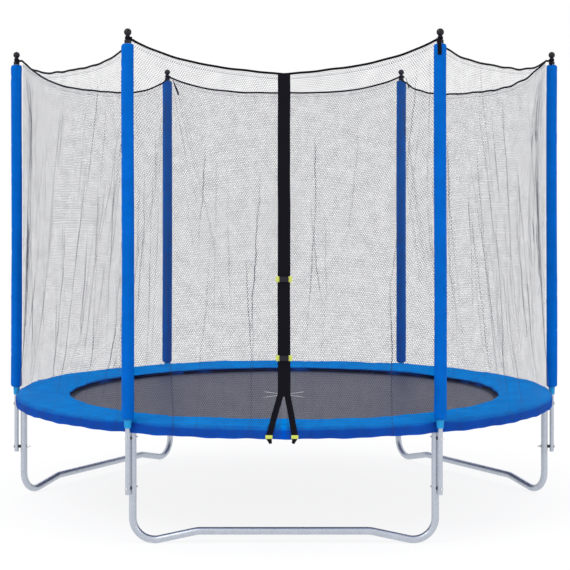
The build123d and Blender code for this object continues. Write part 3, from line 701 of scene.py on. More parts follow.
# %% Stamp creases on a surface
def stamp_creases(seed, a, b, count, a_range, b_range, length, width, depth, tilt, wrap=None):
    """Adds up short ridges over a surface measured as a and b, in metres. tilt is how far they turn."""
    draw = np.random.default_rng(seed)
    height = np.zeros_like(a)
    for _ in range(count):
        middle_a, middle_b = draw.uniform(*a_range), draw.uniform(*b_range)
        turn = draw.uniform(-tilt, tilt)
        long, thin = draw.uniform(*length), draw.uniform(*width)
        size = draw.uniform(*depth) * draw.choice((-1, 1), p=(0.65, 0.35))
        off_a = a - middle_a
        if wrap:
            off_a = (off_a + wrap / 2) % wrap - wrap / 2
        near = np.abs(off_a) < 3 * (long + thin)
        if not near.any():
            continue
        da, db = off_a[near], b[near] - middle_b
        bend = 0.15 * np.sin(3 * db / long + turn)
        along = db * math.cos(turn) + da * math.sin(turn)
        across = da * math.cos(turn) - db * math.sin(turn) + bend * thin
        height[near] += size * np.exp(-(along / long) ** 2) * np.exp(-(across / thin) ** 2)
    return height


# %% [markdown]
# ## The safety pad
# Over the springs lies a ring of foam in a blue coated cover, with a skirt that hangs over the rail. Its six
# lengths meet beside the poles. Each length is crowned, and the cover is drawn in at the seams. The ring is one
# grid wrapped round the pad's section and closed both ways. Light and shade are painted into its colour: faces
# that point up are painted a lighter blue than the sides, and the inner lip is painted near-black as shade.

# %% Shape of the pad
pad_inner = 1.2275
pad_middle = 1.38
pad_girth = 0.80
pad_underside = 0.596
pad_crown = 0.0045
pad_lip = 0.0785
lip_foot = hem_top + 0.0015
skirt_thickness = 0.0022
seam_turn = 1.6
pad_columns, pad_rows = 1140, 52


def pad_section(v):
    """The ring's section as (out, height), from the inner foot over the top to the hem and back underneath."""
    corner = pad_reach - 0.0012
    stations = np.array([0.0, 0.03, 0.06, 0.09, 0.12, 0.42, 0.47, 0.50, 0.53, 0.66,
                         0.675, 0.69, 0.80, 0.84, 1.0])
    out = np.array([pad_inner + 0.006, pad_inner, pad_inner - 0.001, pad_inner + 0.003, pad_inner + 0.012,
                    corner - 0.016, corner - 0.005, corner - 0.001, corner, corner - 0.0004,
                    corner - skirt_thickness / 2, corner - skirt_thickness, corner - skirt_thickness - 0.0006,
                    corner - 0.010, pad_inner + 0.006])
    height = np.array([pad_underside, pad_underside + 0.003, pad_underside + 0.010, pad_top - 0.004, pad_top,
                       pad_top, pad_top - 0.005, pad_top - 0.010, pad_top - 0.018, skirt_foot + 0.0012,
                       skirt_foot, skirt_foot + 0.0012, pad_underside - 0.006, pad_underside, pad_underside])
    return np.interp(v, stations, out), np.interp(v, stations, height)


def place_pad(u, v):
    turn = 360 * u
    out, height = pad_section(v)
    from_seam = (turn - seam_turn + side_step / 2) % side_step - side_step / 2
    along = math.radians(1) * turn * pad_middle
    reach = pad_middle * 2 * math.pi
    inset = (out - pad_inner) / (pad_reach - pad_inner)
    on_top = np.clip((v - 0.06) / 0.05, 0, 1) * np.clip((0.50 - v) / 0.05, 0, 1)
    on_skirt = np.clip((v - 0.50) / 0.04, 0, 1) * np.clip((0.70 - v) / 0.02, 0, 1)
    crown = pad_crown * np.sin(np.pi * np.clip(inset, 0, 1)) * (1 - np.exp(-(from_seam / 2.2) ** 2))
    pinch = -0.0075 * np.exp(-(from_seam / 0.28) ** 2)
    lap = 0.0045 * np.where(from_seam < 0, np.exp(from_seam / 1.5), 0)
    broad = 0.0022 * np.sin(7 * np.radians(turn) + 1.0) + 0.0016 * np.sin(23 * np.radians(turn) + 3 * inset)
    radial = stamp_creases(31, along, out, 620, (0, reach), (pad_inner, pad_reach), (0.02, 0.09),
                           (0.004, 0.012), (0.0008, 0.0030), 0.6, wrap=reach)
    puckers = stamp_creases(32, along, out, 300, (0, reach), (pad_reach - 0.05, pad_reach), (0.012, 0.04),
                            (0.003, 0.008), (0.0010, 0.0030), 0.35, wrap=reach)
    inner = stamp_creases(33, along, out, 260, (0, reach), (pad_inner, pad_inner + 0.05), (0.01, 0.035),
                          (0.004, 0.010), (0.0010, 0.0028), 0.5, wrap=reach)
    rise = crown + pinch + lap + broad + radial + puckers + inner
    edge_wave = 0.004 * np.sin(11 * np.radians(turn) + 0.7) + 0.0022 * np.sin(37 * np.radians(turn))
    edge_wave += 0.007 * np.where(from_seam < 0, np.exp(from_seam / 3.0), 0)
    edge_wave += np.where(from_seam >= 0, -0.006 * np.exp(-from_seam / 1.2), 0)
    at_inner = np.clip((0.14 - v) / 0.06, 0, 1)
    from_pole = np.abs((turn + side_step / 2) % side_step - side_step / 2)
    lip = 1 - np.clip((out - pad_inner) / pad_lip, 0, 1) ** 2
    under = np.clip((pad_underside + 0.004 - height) / 0.004, 0, 1) * (out < pad_inner + pad_lip + 0.01)
    height = height - lip * (pad_underside - lip_foot) * np.where(under > 0, 1, 0.45)
    hang = np.clip((pad_top - height) / (pad_top - skirt_foot), 0, 1)
    folds = stamp_creases(34, along, height, 420, (0, reach), (skirt_foot, pad_top), (0.012, 0.05),
                          (0.004, 0.011), (0.0006, 0.0020), 0.9, wrap=reach)
    hem = 0.0016 * np.sin(29 * np.radians(turn)) + 0.0012 * np.sin(71 * np.radians(turn) + 2)
    height = height + rise * on_top + hem * hang * on_skirt
    out = out - edge_wave * at_inner
    bulge = skirt_bulge(from_pole)
    out = out + (bulge - 0.0002 + np.clip(folds, -0.0022, 0.0008)) * on_skirt * (bulge > 0.002)
    angle = np.radians(turn)
    return out * np.cos(angle), out * np.sin(angle), height


pad = cloth_grid("pad", pad_columns, pad_rows, place_pad, 2 * math.pi * pad_middle, pad_girth, joined=True)
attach(pad, "frame")
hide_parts("safety_pad")

# %% Coated cover of the pad
scrim_pitch = 2200
cover = Finish("blue coated cover", (0.0, 0.10, 0.5), 0.48, **{
    "Specular IOR Level": 0.0,
    "Sheen Weight": 0.12,
    "Sheen Roughness": 0.35,
    "Sheen Tint": (0.0, 0.35, 1.0, 1)})
cover_parts = cover.split(cover.uv)
facing = cover.split(cover.nodes.new("ShaderNodeNewGeometry").outputs["Normal"])
# Painted light: faces that point up get a lighter, more cyan blue, and sideways faces get a deeper blue, as
# though lit from above.
painted_light_on_top = cover.ramp(facing[2], 0.15, 0.85)
scrim = cover.maths("MULTIPLY",
                    cover.maths("SINE", cover.maths("MULTIPLY", cover_parts[0], scrim_pitch)),
                    cover.maths("SINE", cover.maths("MULTIPLY", cover_parts[1], scrim_pitch)))
worn = cover.spread(cover.place, 7, 6, 0.65)
# Painted lit and shaded copies of the cover's blue. The worn cloud makes each a little uneven.
painted_lit_blue = cover.mix(cover.ramp(worn, 0.3, 0.7), (0.0005, 0.195, 0.66), (0.003, 0.265, 0.80))
painted_shaded_blue = cover.mix(cover.ramp(worn, 0.3, 0.7), (0.0004, 0.060, 0.42), (0.0008, 0.092, 0.55))
# Painted shade: the inner lip and the underside beside it are painted near-black navy, standing in for the
# shadow under the pad's inner edge.
flat_place = cover.add("VectorMath", {0: cover.place, 1: (1, 1, 0)}, operation="MULTIPLY")
from_centre = cover.add("VectorMath", {0: flat_place}, output=1, operation="LENGTH")
past_lip = cover.ramp(from_centre, pad_inner + 0.002, pad_inner + 0.007)
above_lip = cover.ramp(cover.split(cover.place)[2], pad_underside - 0.003, pad_underside + 0.003)
clear_of_painted_lip_shade = cover.maths("MAXIMUM", past_lip, above_lip)
lit_and_shaded_blues = cover.mix(painted_light_on_top, painted_shaded_blue, painted_lit_blue)
cover.set(cover.shader, {"Base Color": cover.mix(clear_of_painted_lip_shade, (0.0015, 0.004, 0.035), lit_and_shaded_blues),
                         "Roughness": cover.ramp(worn, 0.3, 0.7, 0.34, 0.52)})
dents = cover.maths("MULTIPLY", cover.spread(cover.place, 45, 6), 3)
cover.bump(cover.maths("ADD", cover.ramp(scrim, -1, 1, 0, 0.4), dents), 0.0006)
cover.give(pad)
print("pad", len(pad.data.polygons), "squares")

# %% [markdown]
# ## Foam sleeves on the poles
# Each pole stands in a foam tube inside a satin cover, closed at the top round the pole, with a narrow gathered
# cuff of lighter cloth below. The cover is a little long for its foam, so it has small creases across it and
# near its ends, long soft folds down its length and one sewn seam that faces inwards. Foam shows nowhere, so
# the cover also stands for the foam tube.

# %% One sleeve
sleeve_columns, sleeve_rows = 56, 230
sleeve_hole = pole_tube + 0.0012


def pole_spot(number):
    """A pole's turn round the centre, and its x and y."""
    turn = math.radians(side_step * (number - 1))
    return turn, pole_ring * math.cos(turn), pole_ring * math.sin(turn)


def sleeve_place(number):
    turn_of_pole, centre_x, centre_y = pole_spot(number)

    def place(u, v):
        angle = 2 * math.pi * u
        stations = np.array([0.0, 0.006, 0.014, 0.022, 0.80, 0.812, 0.822, 0.832, 0.845, 1.0])
        radius = np.interp(v, stations, np.array([
            sleeve_hole, sleeve_tube - 0.010, sleeve_tube - 0.004, sleeve_tube - 0.0015, sleeve_tube - 0.0022,
            sleeve_tube - 0.004, sleeve_tube - 0.009, sleeve_hole + 0.006, sleeve_hole, sleeve_hole]))
        height = np.interp(v, stations, np.array([
            sleeve_foot + 0.002, sleeve_foot, sleeve_foot + 0.004, sleeve_foot + 0.012, sleeve_head - 0.012,
            sleeve_head - 0.005, sleeve_head - 0.0015, sleeve_head, sleeve_head, sleeve_foot + 0.002]))
        cover_part = np.clip((v - 0.008) / 0.02, 0, 1) * np.clip((0.806 - v) / 0.01, 0, 1)
        around = angle * sleeve_tube
        girth = 2 * math.pi * sleeve_tube
        rings = stamp_creases(60 + number, height, around, 70, (sleeve_foot, sleeve_head), (0, girth),
                              (0.012, 0.035), (0.004, 0.011), (0.0007, 0.0022), 0.5)
        ends = stamp_creases(70 + number, around, height, 26, (0, girth), (sleeve_foot, sleeve_foot + 0.05),
                             (0.015, 0.05), (0.003, 0.006), (0.0006, 0.0018), 0.3, wrap=girth)
        tops = stamp_creases(80 + number, around, height, 20, (0, girth), (sleeve_head - 0.05, sleeve_head),
                             (0.012, 0.04), (0.003, 0.006), (0.0006, 0.0018), 0.3, wrap=girth)
        slack = 0.0011 * np.sin(3 * angle + 2.3 * height + number) + 0.0008 * np.sin(5 * angle - 3.7 * height)
        slack += 0.0007 * np.sin(9.0 * height + number) * np.sin(2 * angle)
        inward = turn_of_pole + math.pi
        off_seam = (angle - inward + math.pi) % (2 * math.pi) - math.pi
        seam = -0.0014 * np.exp(-(off_seam / 0.07) ** 2)
        change = slack + seam + np.clip(rings, -0.002, 0.0012) + np.clip(ends + tops, -0.002, 0.001)
        reach = radius + change * cover_part
        near_net = np.clip(np.cos(angle - inward), 0, 1)
        reach = np.where(cover_part > 0, np.minimum(reach, sleeve_tube - 0.0008 * near_net), reach)
        return centre_x + reach * np.cos(angle), centre_y + reach * np.sin(angle), height

    return place


sleeves = []
for number in range(1, side_count + 1):
    sleeve = cloth_grid(f"sleeve_cover_{number}", sleeve_columns, sleeve_rows, sleeve_place(number),
                        2 * math.pi * sleeve_tube, (sleeve_head - sleeve_foot) / 0.80, joined=True)
    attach(sleeve, "frame")
    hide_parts(f"sleeve_{number}", "foam_tubes")
    sleeves.append(sleeve)

# %% Satin of the sleeves and cloth of the cuffs
satin = woven_finish("blue satin", (0.0006, 0.112, 0.50), 0.0006, 0.5, 0.00012,
                     **{"Specular IOR Level": 0.02, "Sheen Weight": 0.10, "Sheen Roughness": 0.4,
                        "Sheen Tint": (0.0, 0.4, 1.0, 1)})
satin.give(*sleeves)
cuff_cloth = woven_finish("cyan cuff cloth", (0.012, 0.30, 0.66), 0.0007, 0.6, 0.0002,
                          **{"Specular IOR Level": 0.2})
print(len(sleeves), "sleeves of", len(sleeves[0].data.polygons), "squares")

# %% Gathered cuffs
cuff_foot, cuff_head = low("sleeve_cuffs").z, high("sleeve_cuffs").z
cuff_tube = high("sleeve_cuffs").x - pole_ring


def cuff_place(number):
    _, centre_x, centre_y = pole_spot(number)

    def place(u, v):
        angle = 2 * math.pi * u
        stations = np.array([0.0, 0.05, 0.12, 0.30, 0.42, 0.70, 0.76, 1.0])
        radius = np.interp(v, stations, np.array([
            0.0132, 0.0150, 0.0168, 0.0160, 0.0172, 0.0182, 0.0132, 0.0132]))
        height = np.interp(v, stations, np.array([
            cuff_foot, cuff_foot, cuff_foot + 0.003, cuff_foot + 0.010,
            cuff_foot + 0.018, cuff_head - 0.001, cuff_head - 0.0005, cuff_foot]))
        outer = np.clip((v - 0.04) / 0.06, 0, 1) * np.clip((0.72 - v) / 0.04, 0, 1)
        pleat = 0.0007 * np.sin(11 * angle + number + 40 * (height - cuff_foot)) + 0.0004 * np.sin(17 * angle)
        reach = np.minimum(radius + pleat * outer, cuff_tube - 0.0002)
        return centre_x + reach * np.cos(angle), centre_y + reach * np.sin(angle), height

    return place


cuffs = []
for number in range(1, side_count + 1):
    cuff = cloth_grid(f"cuff_{number}", 96, 30, cuff_place(number), 0.12, 0.08, joined=True)
    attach(cuff, "frame")
    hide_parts("sleeve_cuffs")
    cuffs.append(cuff)
cuff_cloth.give(*cuffs)
print(len(cuffs), "cuffs")

# %% [markdown]
# ## The jumping mat
# The mat is woven from flat black threads and pulled drum-tight by its springs. A webbing hem goes round it,
# each steel ring is held in a short webbing tab, and a sewn cross marks the middle. The weave is a pattern on
# Object coordinates, because the mat is flat and a disc has no natural UV map.

# %% Mat
mat_thickness = 0.0016


def place_mat(u, v):
    angle = 2 * math.pi * u
    radius = mat_reach * v
    ripple = 0.0006 * np.sin(9 * angle) * v ** 4 - 0.0010 * (1 - v ** 2)
    return radius * np.cos(angle), radius * np.sin(angle), mat_top - mat_thickness / 2 + ripple


mat = cloth_grid("mat", 180, 36, place_mat, 2.4, 1.2, joined=True)
thicken(mat, mat_thickness)
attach(mat, "mat")
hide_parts("jumping_mat")

mat_weave = Finish("woven mat", (0.02, 0.02, 0.028), 0.42, **{"Specular IOR Level": 0.22})
thread_width = 0.0026
mat_parts = mat_weave.split(mat_weave.place)
across_threads = mat_weave.maths("SINE", mat_weave.maths("MULTIPLY", mat_parts[0], math.pi / thread_width))
along_threads = mat_weave.maths("SINE", mat_weave.maths("MULTIPLY", mat_parts[1], math.pi / thread_width))
basket = mat_weave.ramp(mat_weave.maths("MULTIPLY", across_threads, along_threads), -1, 1)
speckle = mat_weave.ramp(mat_weave.spread(mat_weave.place, 75, 5, 0.8), 0.38, 0.62)
patch = mat_weave.spread(mat_weave.place, 4, 4, 0.6)
mat_tone = mat_weave.maths("ADD", mat_weave.maths("MULTIPLY", speckle, 0.5),
                           mat_weave.maths("ADD", mat_weave.maths("MULTIPLY", basket, 0.25),
                                           mat_weave.maths("MULTIPLY", patch, 0.25)))
mat_weave.set(mat_weave.shader, {
    "Base Color": mat_weave.mix(mat_weave.ramp(mat_tone, 0.3, 0.7),
                                (0.030, 0.032, 0.056), (0.062, 0.066, 0.116)),
    "Roughness": mat_weave.ramp(mat_tone, 0.3, 0.7, 0.34, 0.52)})
mat_weave.bump(basket, 0.0003)
mat_weave.give(mat)


# %% Hem of the mat, ring tabs and the sewn cross
hem_inner = mat_reach - 0.006
hem_thickness = 0.0032


def place_hem(u, v):
    angle = 2 * math.pi * u
    stations = np.array([0, 0.03, 0.45, 0.48, 0.52, 0.55, 0.97, 1.0])
    radius = np.interp(v, stations, [hem_inner, hem_inner + 0.001, hem_reach - 0.001, hem_reach, hem_reach,
                                     hem_reach - 0.001, hem_inner + 0.001, hem_inner])
    rise = np.interp(v, stations, [0.0, 0.5, 0.5, 0.2, -0.2, -0.5, -0.5, 0.0]) * hem_thickness
    ripple = 0.0002 * np.sin(60 * angle)
    return radius * np.cos(angle), radius * np.sin(angle), hem_top - hem_thickness / 2 + rise + ripple


hem = cloth_grid("mat_hem_webbing", 360, 16, place_hem,
                 2 * math.pi * hem_reach, 2 * (hem_reach - hem_inner), joined=True)
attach(hem, "mat")
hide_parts("mat_hem")
hem_webbing = woven_finish("hem webbing", (0.012, 0.012, 0.016), 0.0012, 0.6, 0.00025)
hem_webbing.give(hem)

spring_count = 60
ring_step = 360 / spring_count
tab_pieces = []
for number in range(spring_count):
    begin()
    bpy.ops.mesh.primitive_cube_add(size=1, location=(hem_reach - 0.006, 0, hem_top - 0.0016),
                                    scale=(0.020, 0.024, 0.0058))
    tab = soften(place_for_good(bpy.context.object), 0.0015, segments=1)
    pick(tab)
    bpy.ops.transform.rotate(value=-math.radians(ring_step / 2 + ring_step * number), orient_axis="Z",
                             center_override=(0, 0, 0))
    place_for_good(tab)
    tab_pieces.append(tab)
ring_tabs = join(tab_pieces)
ring_tabs.name = "ring_tabs"
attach(ring_tabs, "mat")
plain_webbing = Finish("tab webbing", (0.012, 0.012, 0.016), 0.65, **{"Specular IOR Level": 0.3})
plain_webbing.bump(plain_webbing.add("TexWave", {"Vector": plain_webbing.place, "Scale": 300.0}), 0.0003)
plain_webbing.give(ring_tabs)

cross_reach, cross_width = 0.170, 0.0125
for number, turn in enumerate((48, 132), start=1):
    ahead_x, ahead_y = math.cos(math.radians(turn)), math.sin(math.radians(turn))

    def arm_line(t):
        along = 2 * t - 1
        height = 0 * t + mat_top + 0.0001 + 0.0006 * number - 0.0010 * np.cos(1.2 * along) * 0.4
        return along * cross_reach * ahead_x, along * cross_reach * ahead_y, height

    arm = strip(f"cross_arm_{number}", arm_line,
                lambda t: (0 * t - ahead_y, 0 * t + ahead_x, 0 * t), cross_width, 0.0009, 40,
                woven_finish(f"cross webbing {number}", (0.78, 0.79, 0.82), 0.0008, 0.6, 0.0002))
    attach(arm, "mat")
print("mat", round(2 * mat_reach, 2), "m across, in a hem", round(1000 * (hem_reach - hem_inner)), "mm wide")

# %% [markdown]
# ## Coil springs
# Sixty close-wound springs join the mat's rings to holes in the rail. One is modelled: a small circle is swept
# into a coil by the Screw modifier, and bent wires make its two hooks. The sixty are copies of it turned round
# the centre, each with its own mesh.

# %% One spring, then sixty
coil_low = 1.334
coil_high = 1.470
coil_height = (low("springs").z + high("springs").z) / 2 - 0.002
coil_radius = 0.0078
wire_radius = 0.0013
coil_turns = 27
first_turn = math.radians(ring_step / 2)

begin()
bpy.ops.mesh.primitive_circle_add(vertices=5, radius=wire_radius, location=(coil_radius, 0, 0),
                                  rotation=(math.pi / 2, 0, 0))
coil = place_for_good(bpy.context.object)
winding = coil.modifiers.new("winding", "SCREW")
winding.steps = winding.render_steps = 9
winding.iterations = coil_turns
winding.screw_offset = (coil_high - coil_low) / coil_turns
bpy.ops.object.modifier_apply(modifier=winding.name)
close_ends(coil)
coil.rotation_euler = (0, math.pi / 2, 0)
coil.location = (coil_low, 0, coil_height)
place_for_good(coil)


def bent_wire(name, points, radius):
    """A round wire through a few points, as a mesh."""
    curve = bpy.data.curves.new(name, "CURVE")
    curve.dimensions = "3D"
    spline = curve.splines.new("NURBS")
    spline.points.add(len(points) - 1)
    for knot, point in zip(spline.points, points):
        knot.co = (*point, 1)
    spline.order_u = 3
    spline.use_endpoint_u = True
    curve.resolution_u = 3
    curve.bevel_depth = radius
    curve.bevel_resolution = 1
    curve.use_fill_caps = True
    wire = bpy.data.objects.new(name, curve)
    bpy.context.scene.collection.objects.link(wire)
    pick(wire)
    bpy.ops.object.convert(target="MESH")
    return bpy.context.object


mat_hook = bent_wire("mat hook", [
    (coil_low + 0.001, 0, coil_height - coil_radius), (coil_low - 0.002, 0, coil_height),
    (coil_low - 0.006, 0, coil_height + 0.007), (1.318, 0, coil_height + 0.007),
    (1.311, 0, coil_height + 0.002), (1.312, 0, coil_height - 0.005)], wire_radius)
rail_hook = bent_wire("rail hook", [
    (coil_high - 0.001, 0, coil_height + coil_radius), (coil_high + 0.002, 0, coil_height + 0.004),
    (coil_high + 0.008, 0, coil_height + 0.013), (coil_high + 0.018, 0, coil_height + 0.016),
    (coil_high + 0.024, 0, coil_height + 0.006), (coil_high + 0.0235, 0, coil_height - 0.001)], wire_radius)
spring = join([coil, mat_hook, rail_hook])
bpy.ops.object.shade_smooth()
plated.give(spring)

springs = []
for number in range(spring_count):
    turn = first_turn + math.radians(ring_step) * number
    copy = bpy.data.objects.new(f"spring_{number + 1}", spring.data.copy())
    bpy.context.scene.collection.objects.link(copy)
    flat = points_of(copy)
    turned = flat.copy()
    turned[:, 0] = flat[:, 0] * math.cos(turn) - flat[:, 1] * math.sin(turn)
    turned[:, 1] = flat[:, 0] * math.sin(turn) + flat[:, 1] * math.cos(turn)
    put_points(copy, turned)
    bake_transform(copy)
    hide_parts("springs")
    springs.append(copy)
bpy.data.objects.remove(spring)
print(len(springs), "springs of", len(springs[0].data.polygons), "faces")

# %% [markdown]
# ## The door
# The net's front side is slit from top to bottom and closed by a zip. A wide webbing strip hides the zip, and
# two buckles clip across it on yellow-green tabs. Above the pad the strip forks into two tails that hang down
# the skirt, each held by a yellow-green loop. Places on the sloping door are given by one function.

# %% Places on the door, and its webbing strip
lean = math.atan((net_ring - chord_ring) / (chord_line - pad_line))


def on_door(x, height, out):
    """A place on the door at a height up its slope and out metres in front of the net."""
    up = (height - pad_line) / math.cos(lean)
    y = -net_ring + up * math.sin(lean) - out * math.cos(lean)
    return x + 0 * up, y, pad_line + up * math.cos(lean) + out * math.sin(lean)


def crosswise(t):
    return 0 * t + 1, 0 * t, 0 * t


fork_height, flap_top = low("door_flap").z, high("door_flap").z
flap_width = high("door_flap").x - low("door_flap").x
flap_out = 0.00675


def flap_line(t):
    height = fork_height - 0.010 + (flap_top - 0.0008 - fork_height + 0.010) * t
    sway = 0.0006 * np.sin(9 * height) + 0.0004 * np.sin(23 * height + 1)
    lift = 0.00035 * np.sin(14 * height + 2) + 0.00015 * np.sin(37 * height)
    return on_door(sway, height, flap_out + lift)


flap = strip("door_webbing", flap_line, crosswise, flap_width, 0.0015, 320, webbing_black)
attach(flap, "frame")
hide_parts("door_flap")

# %% Zip tapes and teeth
zip_low, zip_high = low("zip_tapes").z, high("zip_tapes").z
zip_out = 0.00155
for hand, word in ((-1, "left"), (1, "right")):
    def tape_line(t):
        height = zip_low + (zip_high - 0.001 - zip_low) * t
        return on_door(hand * 0.0096 + 0.0002 * np.sin(60 * t), height, zip_out)

    tape_edge = strip(f"zip_tape_{word}", tape_line, crosswise, 0.0126, 0.001, 160, binding_black)
    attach(tape_edge, "frame")
    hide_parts("zip_tapes")

    tooth_step = 0.005
    tooth_count = int((zip_high - zip_low - 0.006) / math.cos(lean) / tooth_step)
    begin()
    start = on_door(hand * 0.00185, zip_low + 0.003 + (tooth_step / 2 if hand > 0 else 0), zip_out)
    bpy.ops.mesh.primitive_cube_add(size=1, location=start, rotation=(-lean, 0, 0),
                                    scale=(0.0022, 0.0026, 0.0030))
    teeth = bpy.context.object
    teeth.name = f"zip_teeth_{word}"
    place_for_good(teeth)
    soften(teeth, 0.0005, segments=1, angle=30)
    row = teeth.modifiers.new("row", "ARRAY")
    row.count = tooth_count
    row.use_relative_offset = False
    row.use_constant_offset = True
    row.constant_offset_displace = (0, tooth_step * math.sin(lean), tooth_step * math.cos(lean))
    bpy.ops.object.modifier_apply(modifier=row.name)
    plastic.give(teeth)
    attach(teeth, "frame")
    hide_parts("zip_teeth")
print("door", round(flap_top - fork_height, 3), "m tall,", 2 * tooth_count, "teeth")

# %% Yellow-green tabs of the buckles
tab_inner, tab_outer, tab_out = 0.0223, 0.040, 0.0092
upper_line = (low("upper_plug_tab").z + high("upper_plug_tab").z) / 2
lower_line = (low("lower_plug_tab").z + high("lower_plug_tab").z) / 2
tab_tall = (high("upper_plug_tab").z - low("upper_plug_tab").z) / math.cos(lean) - 0.0004
for word, height, hand, body, node in (("upper_left", upper_line, -1, "frame", "buckle_left_tabs"),
                                       ("lower_left", lower_line, -1, "frame", "buckle_left_tabs"),
                                       ("upper_right", upper_line, 1, "upper_plug", "upper_plug_tab"),
                                       ("lower_right", lower_line, 1, "lower_plug", "lower_plug_tab")):
    buckle_tab = strip(f"buckle_tab_{word}",
                       lambda t: on_door(hand * (tab_inner + (tab_outer - tab_inner) * t), height + 0 * t,
                                         tab_out + 0.0002 * np.sin(6 * t)),
                       lambda t: (0 * t, 0 * t + math.sin(lean), 0 * t + math.cos(lean)),
                       tab_tall, 0.002, 24, webbing_yellow)
    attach(buckle_tab, body)
    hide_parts(node)

# %% Tails of the door strip, and their loops
tail_out = 1.5307 + skirt_bulge(side_step / 2)
tail_low, loop_line = low("door_tails").z, (low("tail_loops").z + high("tail_loops").z) / 2
tail_path = np.array([
    on_door(0, fork_height - 0.0006, flap_out + 0.0004)[1:], on_door(0, 0.70, flap_out + 0.0004)[1:],
    on_door(0, 0.640, flap_out + 0.0012)[1:], (-tail_out + 0.0035, 0.622), (-tail_out, 0.606),
    (-tail_out, loop_line + 0.02), (-tail_out, loop_line - 0.010),
    (-tail_out - 0.001, loop_line - 0.018), (-tail_out - 0.004, tail_low + 0.001)])
path_walked = np.concatenate([[0], np.cumsum(np.hypot(*np.diff(tail_path, axis=0).T))])
path_walked /= path_walked[-1]
for hand, loop_x, word in ((-1, -0.0725, "left"), (1, 0.0525, "right")):
    def tail_line(t):
        near = np.linspace(-0.03, 0.03, 9)
        y = sum(np.interp(np.clip(t + step, 0, 1), path_walked, tail_path[:, 0]) for step in near) / 9
        height = np.interp(t, path_walked, tail_path[:, 1])
        y = np.where(t < 0.03, np.interp(t, path_walked, tail_path[:, 0]), y)
        share = (fork_height - height) / (fork_height - loop_line)
        x = hand * 0.016 + (loop_x - hand * 0.016) * np.minimum(share, 1)
        x = x + 0.0016 * np.sin(3.1416 * np.clip(share, 0, 1)) * hand
        x = x - hand * 0.011 * np.clip((loop_line - 0.006 - height) / (loop_line - tail_low), 0, 1)
        return x, y, height

    tail_piece = strip(f"door_tail_{word}", tail_line, crosswise, 0.030, 0.0018, 120, webbing_black,
                       taper=lambda t: 1 - 0.55 * np.clip((t - 0.88) / 0.12, 0, 1) ** 0.8)
    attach(tail_piece, "frame")
    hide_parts("door_tails")

    def loop_path(t):
        off = (2 * t - 1) * 0.0168
        return loop_x + off, -tail_out - 0.0023 + 0.0012 * np.abs(2 * t - 1) ** 6, loop_line + 0 * t

    loop = strip(f"tail_loop_{word}", loop_path, upright, 0.018, 0.002, 28, webbing_yellow)
    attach(loop, "frame")
    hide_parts("tail_loops")
print("tails end", round(tail_low, 3), "m above the floor")

# %% [markdown]
# ## Ties at the caps
# A band of binding goes round the neck of each cap and is knotted there, and a short link holds the net's
# corner. The loose end hangs over the sleeve's shoulder. The six ends differ in heading, length and width, as
# hand-tied ends do.

# %% Six ties
tie_low, tie_high = 2.505, 2.520
neck = 0.0112
knot_reach = 0.0165
twisted_ends = (2, 3)
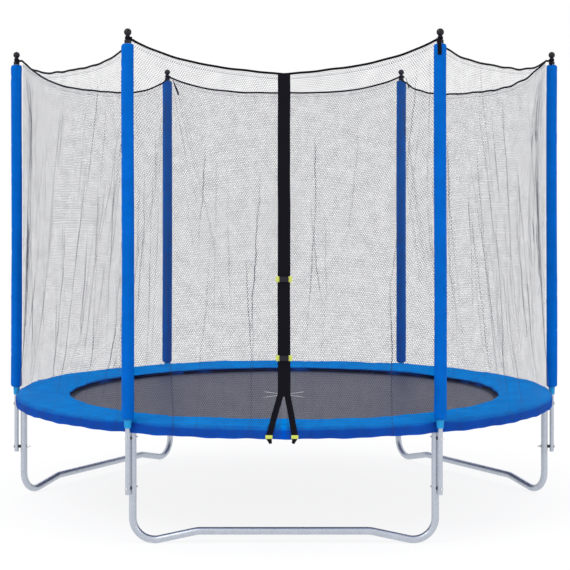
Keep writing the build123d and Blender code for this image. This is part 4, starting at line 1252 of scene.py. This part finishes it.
# heading of the loose end in degrees, its length and its width in metres
tie_ends = [(250, 0.025, 0.014), (20, 0.070, 0.009), (0, 0.115, 0.012), (290, 0.022, 0.014), (0, 0.020, 0.018),
            (255, 0.080, 0.020)]
for number, (heading, length, width) in enumerate(tie_ends, start=1):
    pole_turn, pole_x, pole_y = pole_spot(number)
    face_turn = math.radians(heading)
    face_x, face_y = math.cos(face_turn), math.sin(face_turn)

    def band_place(u, v):
        angle = 2 * math.pi * u
        ring = 2 * math.pi * v
        radius = neck + 0.0017 + 0.0016 * np.sign(np.cos(ring)) * np.abs(np.cos(ring)) ** 0.7
        radius = radius + 0.0003 * np.sin(4 * angle + number)
        height = (tie_low + tie_high) / 2 + 0.0070 * np.sign(np.sin(ring)) * np.abs(np.sin(ring)) ** 0.6
        height = height + 0.0004 * np.sin(2 * angle + 2 * number)
        return pole_x + radius * np.cos(angle), pole_y + radius * np.sin(angle), height

    band = cloth_grid(f"tie_band_{number}", 48, 14, band_place, 0.09, 0.03, joined=True)
    binding_black.give(band)

    begin()
    knot_place = (pole_x + knot_reach * face_x, pole_y + knot_reach * face_y, tie_low + 0.007)
    bpy.ops.mesh.primitive_uv_sphere_add(segments=20, ring_count=12, radius=1, location=knot_place,
                                         scale=(0.0062, 0.0078, 0.0066), rotation=(0.3, 0.2, face_turn))
    knot = place_for_good(bpy.context.object)
    knot.name = f"tie_knot_{number}"
    ball = points_of(knot)
    off = ball - ball.mean(0)
    twist = 1 + 0.10 * np.sin(900 * off[:, 0] + 700 * off[:, 2]) + 0.05 * np.sin(1500 * off[:, 1])
    put_points(knot, ball.mean(0) + off * twist[:, None])
    bpy.ops.object.shade_smooth()
    binding_black.give(knot)

    def link_line(t):
        reach = pole_ring - neck - 0.0015 + (net_ring + 0.0002 - pole_ring + neck + 0.0015) * t
        height = tie_low + 0.0045 - 0.003 * np.sin(3.1416 * t)
        return reach * math.cos(pole_turn), reach * math.sin(pole_turn), height

    link = strip(f"tie_link_{number}", link_line, upright, 0.012, 0.005, 16, binding_black)

    over = sleeve_tube + 0.0014

    def end_line(t):
        total = (over - neck) + length
        walked = t * total
        down = np.clip(walked - (over - neck), 0, None)
        stand_off = 0.30 * down if number in twisted_ends else 0
        ripple = 0.0012 * np.sin(55 * down + number) * np.clip(down / 0.02, 0, 1)
        out = np.clip(neck + walked, 0, over) + stand_off + 0.0025 * (down / 0.08) ** 2 + ripple
        side = 0.0030 * np.sin(28 * down + number) * np.clip(down / 0.03, 0, 1)
        corner = 0.003 * np.exp(-((walked - (over - neck)) / 0.006) ** 2)
        height = tie_low + 0.0015 - down - corner
        out = out - 0.3 * corner
        return pole_x + out * face_x - side * face_y, pole_y + out * face_y + side * face_x, height

    def end_across(t):
        """The end lies flat on the shoulder. A twisted one then turns, and shows its face sideways."""
        twist = math.radians(80 if number in twisted_ends else 0) * np.clip((t - 0.3) / 0.4, 0, 1)
        return (-face_y * np.cos(twist) + face_x * np.sin(twist),
                face_x * np.cos(twist) + face_y * np.sin(twist), 0 * t)

    loose = strip(f"tie_end_{number}", end_line, end_across, width, 0.0018, 48, binding_black)
    for part in (band, knot, link, loose):
        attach(part, "frame")
        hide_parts("pole_ties")
print(len(tie_ends), "ties")
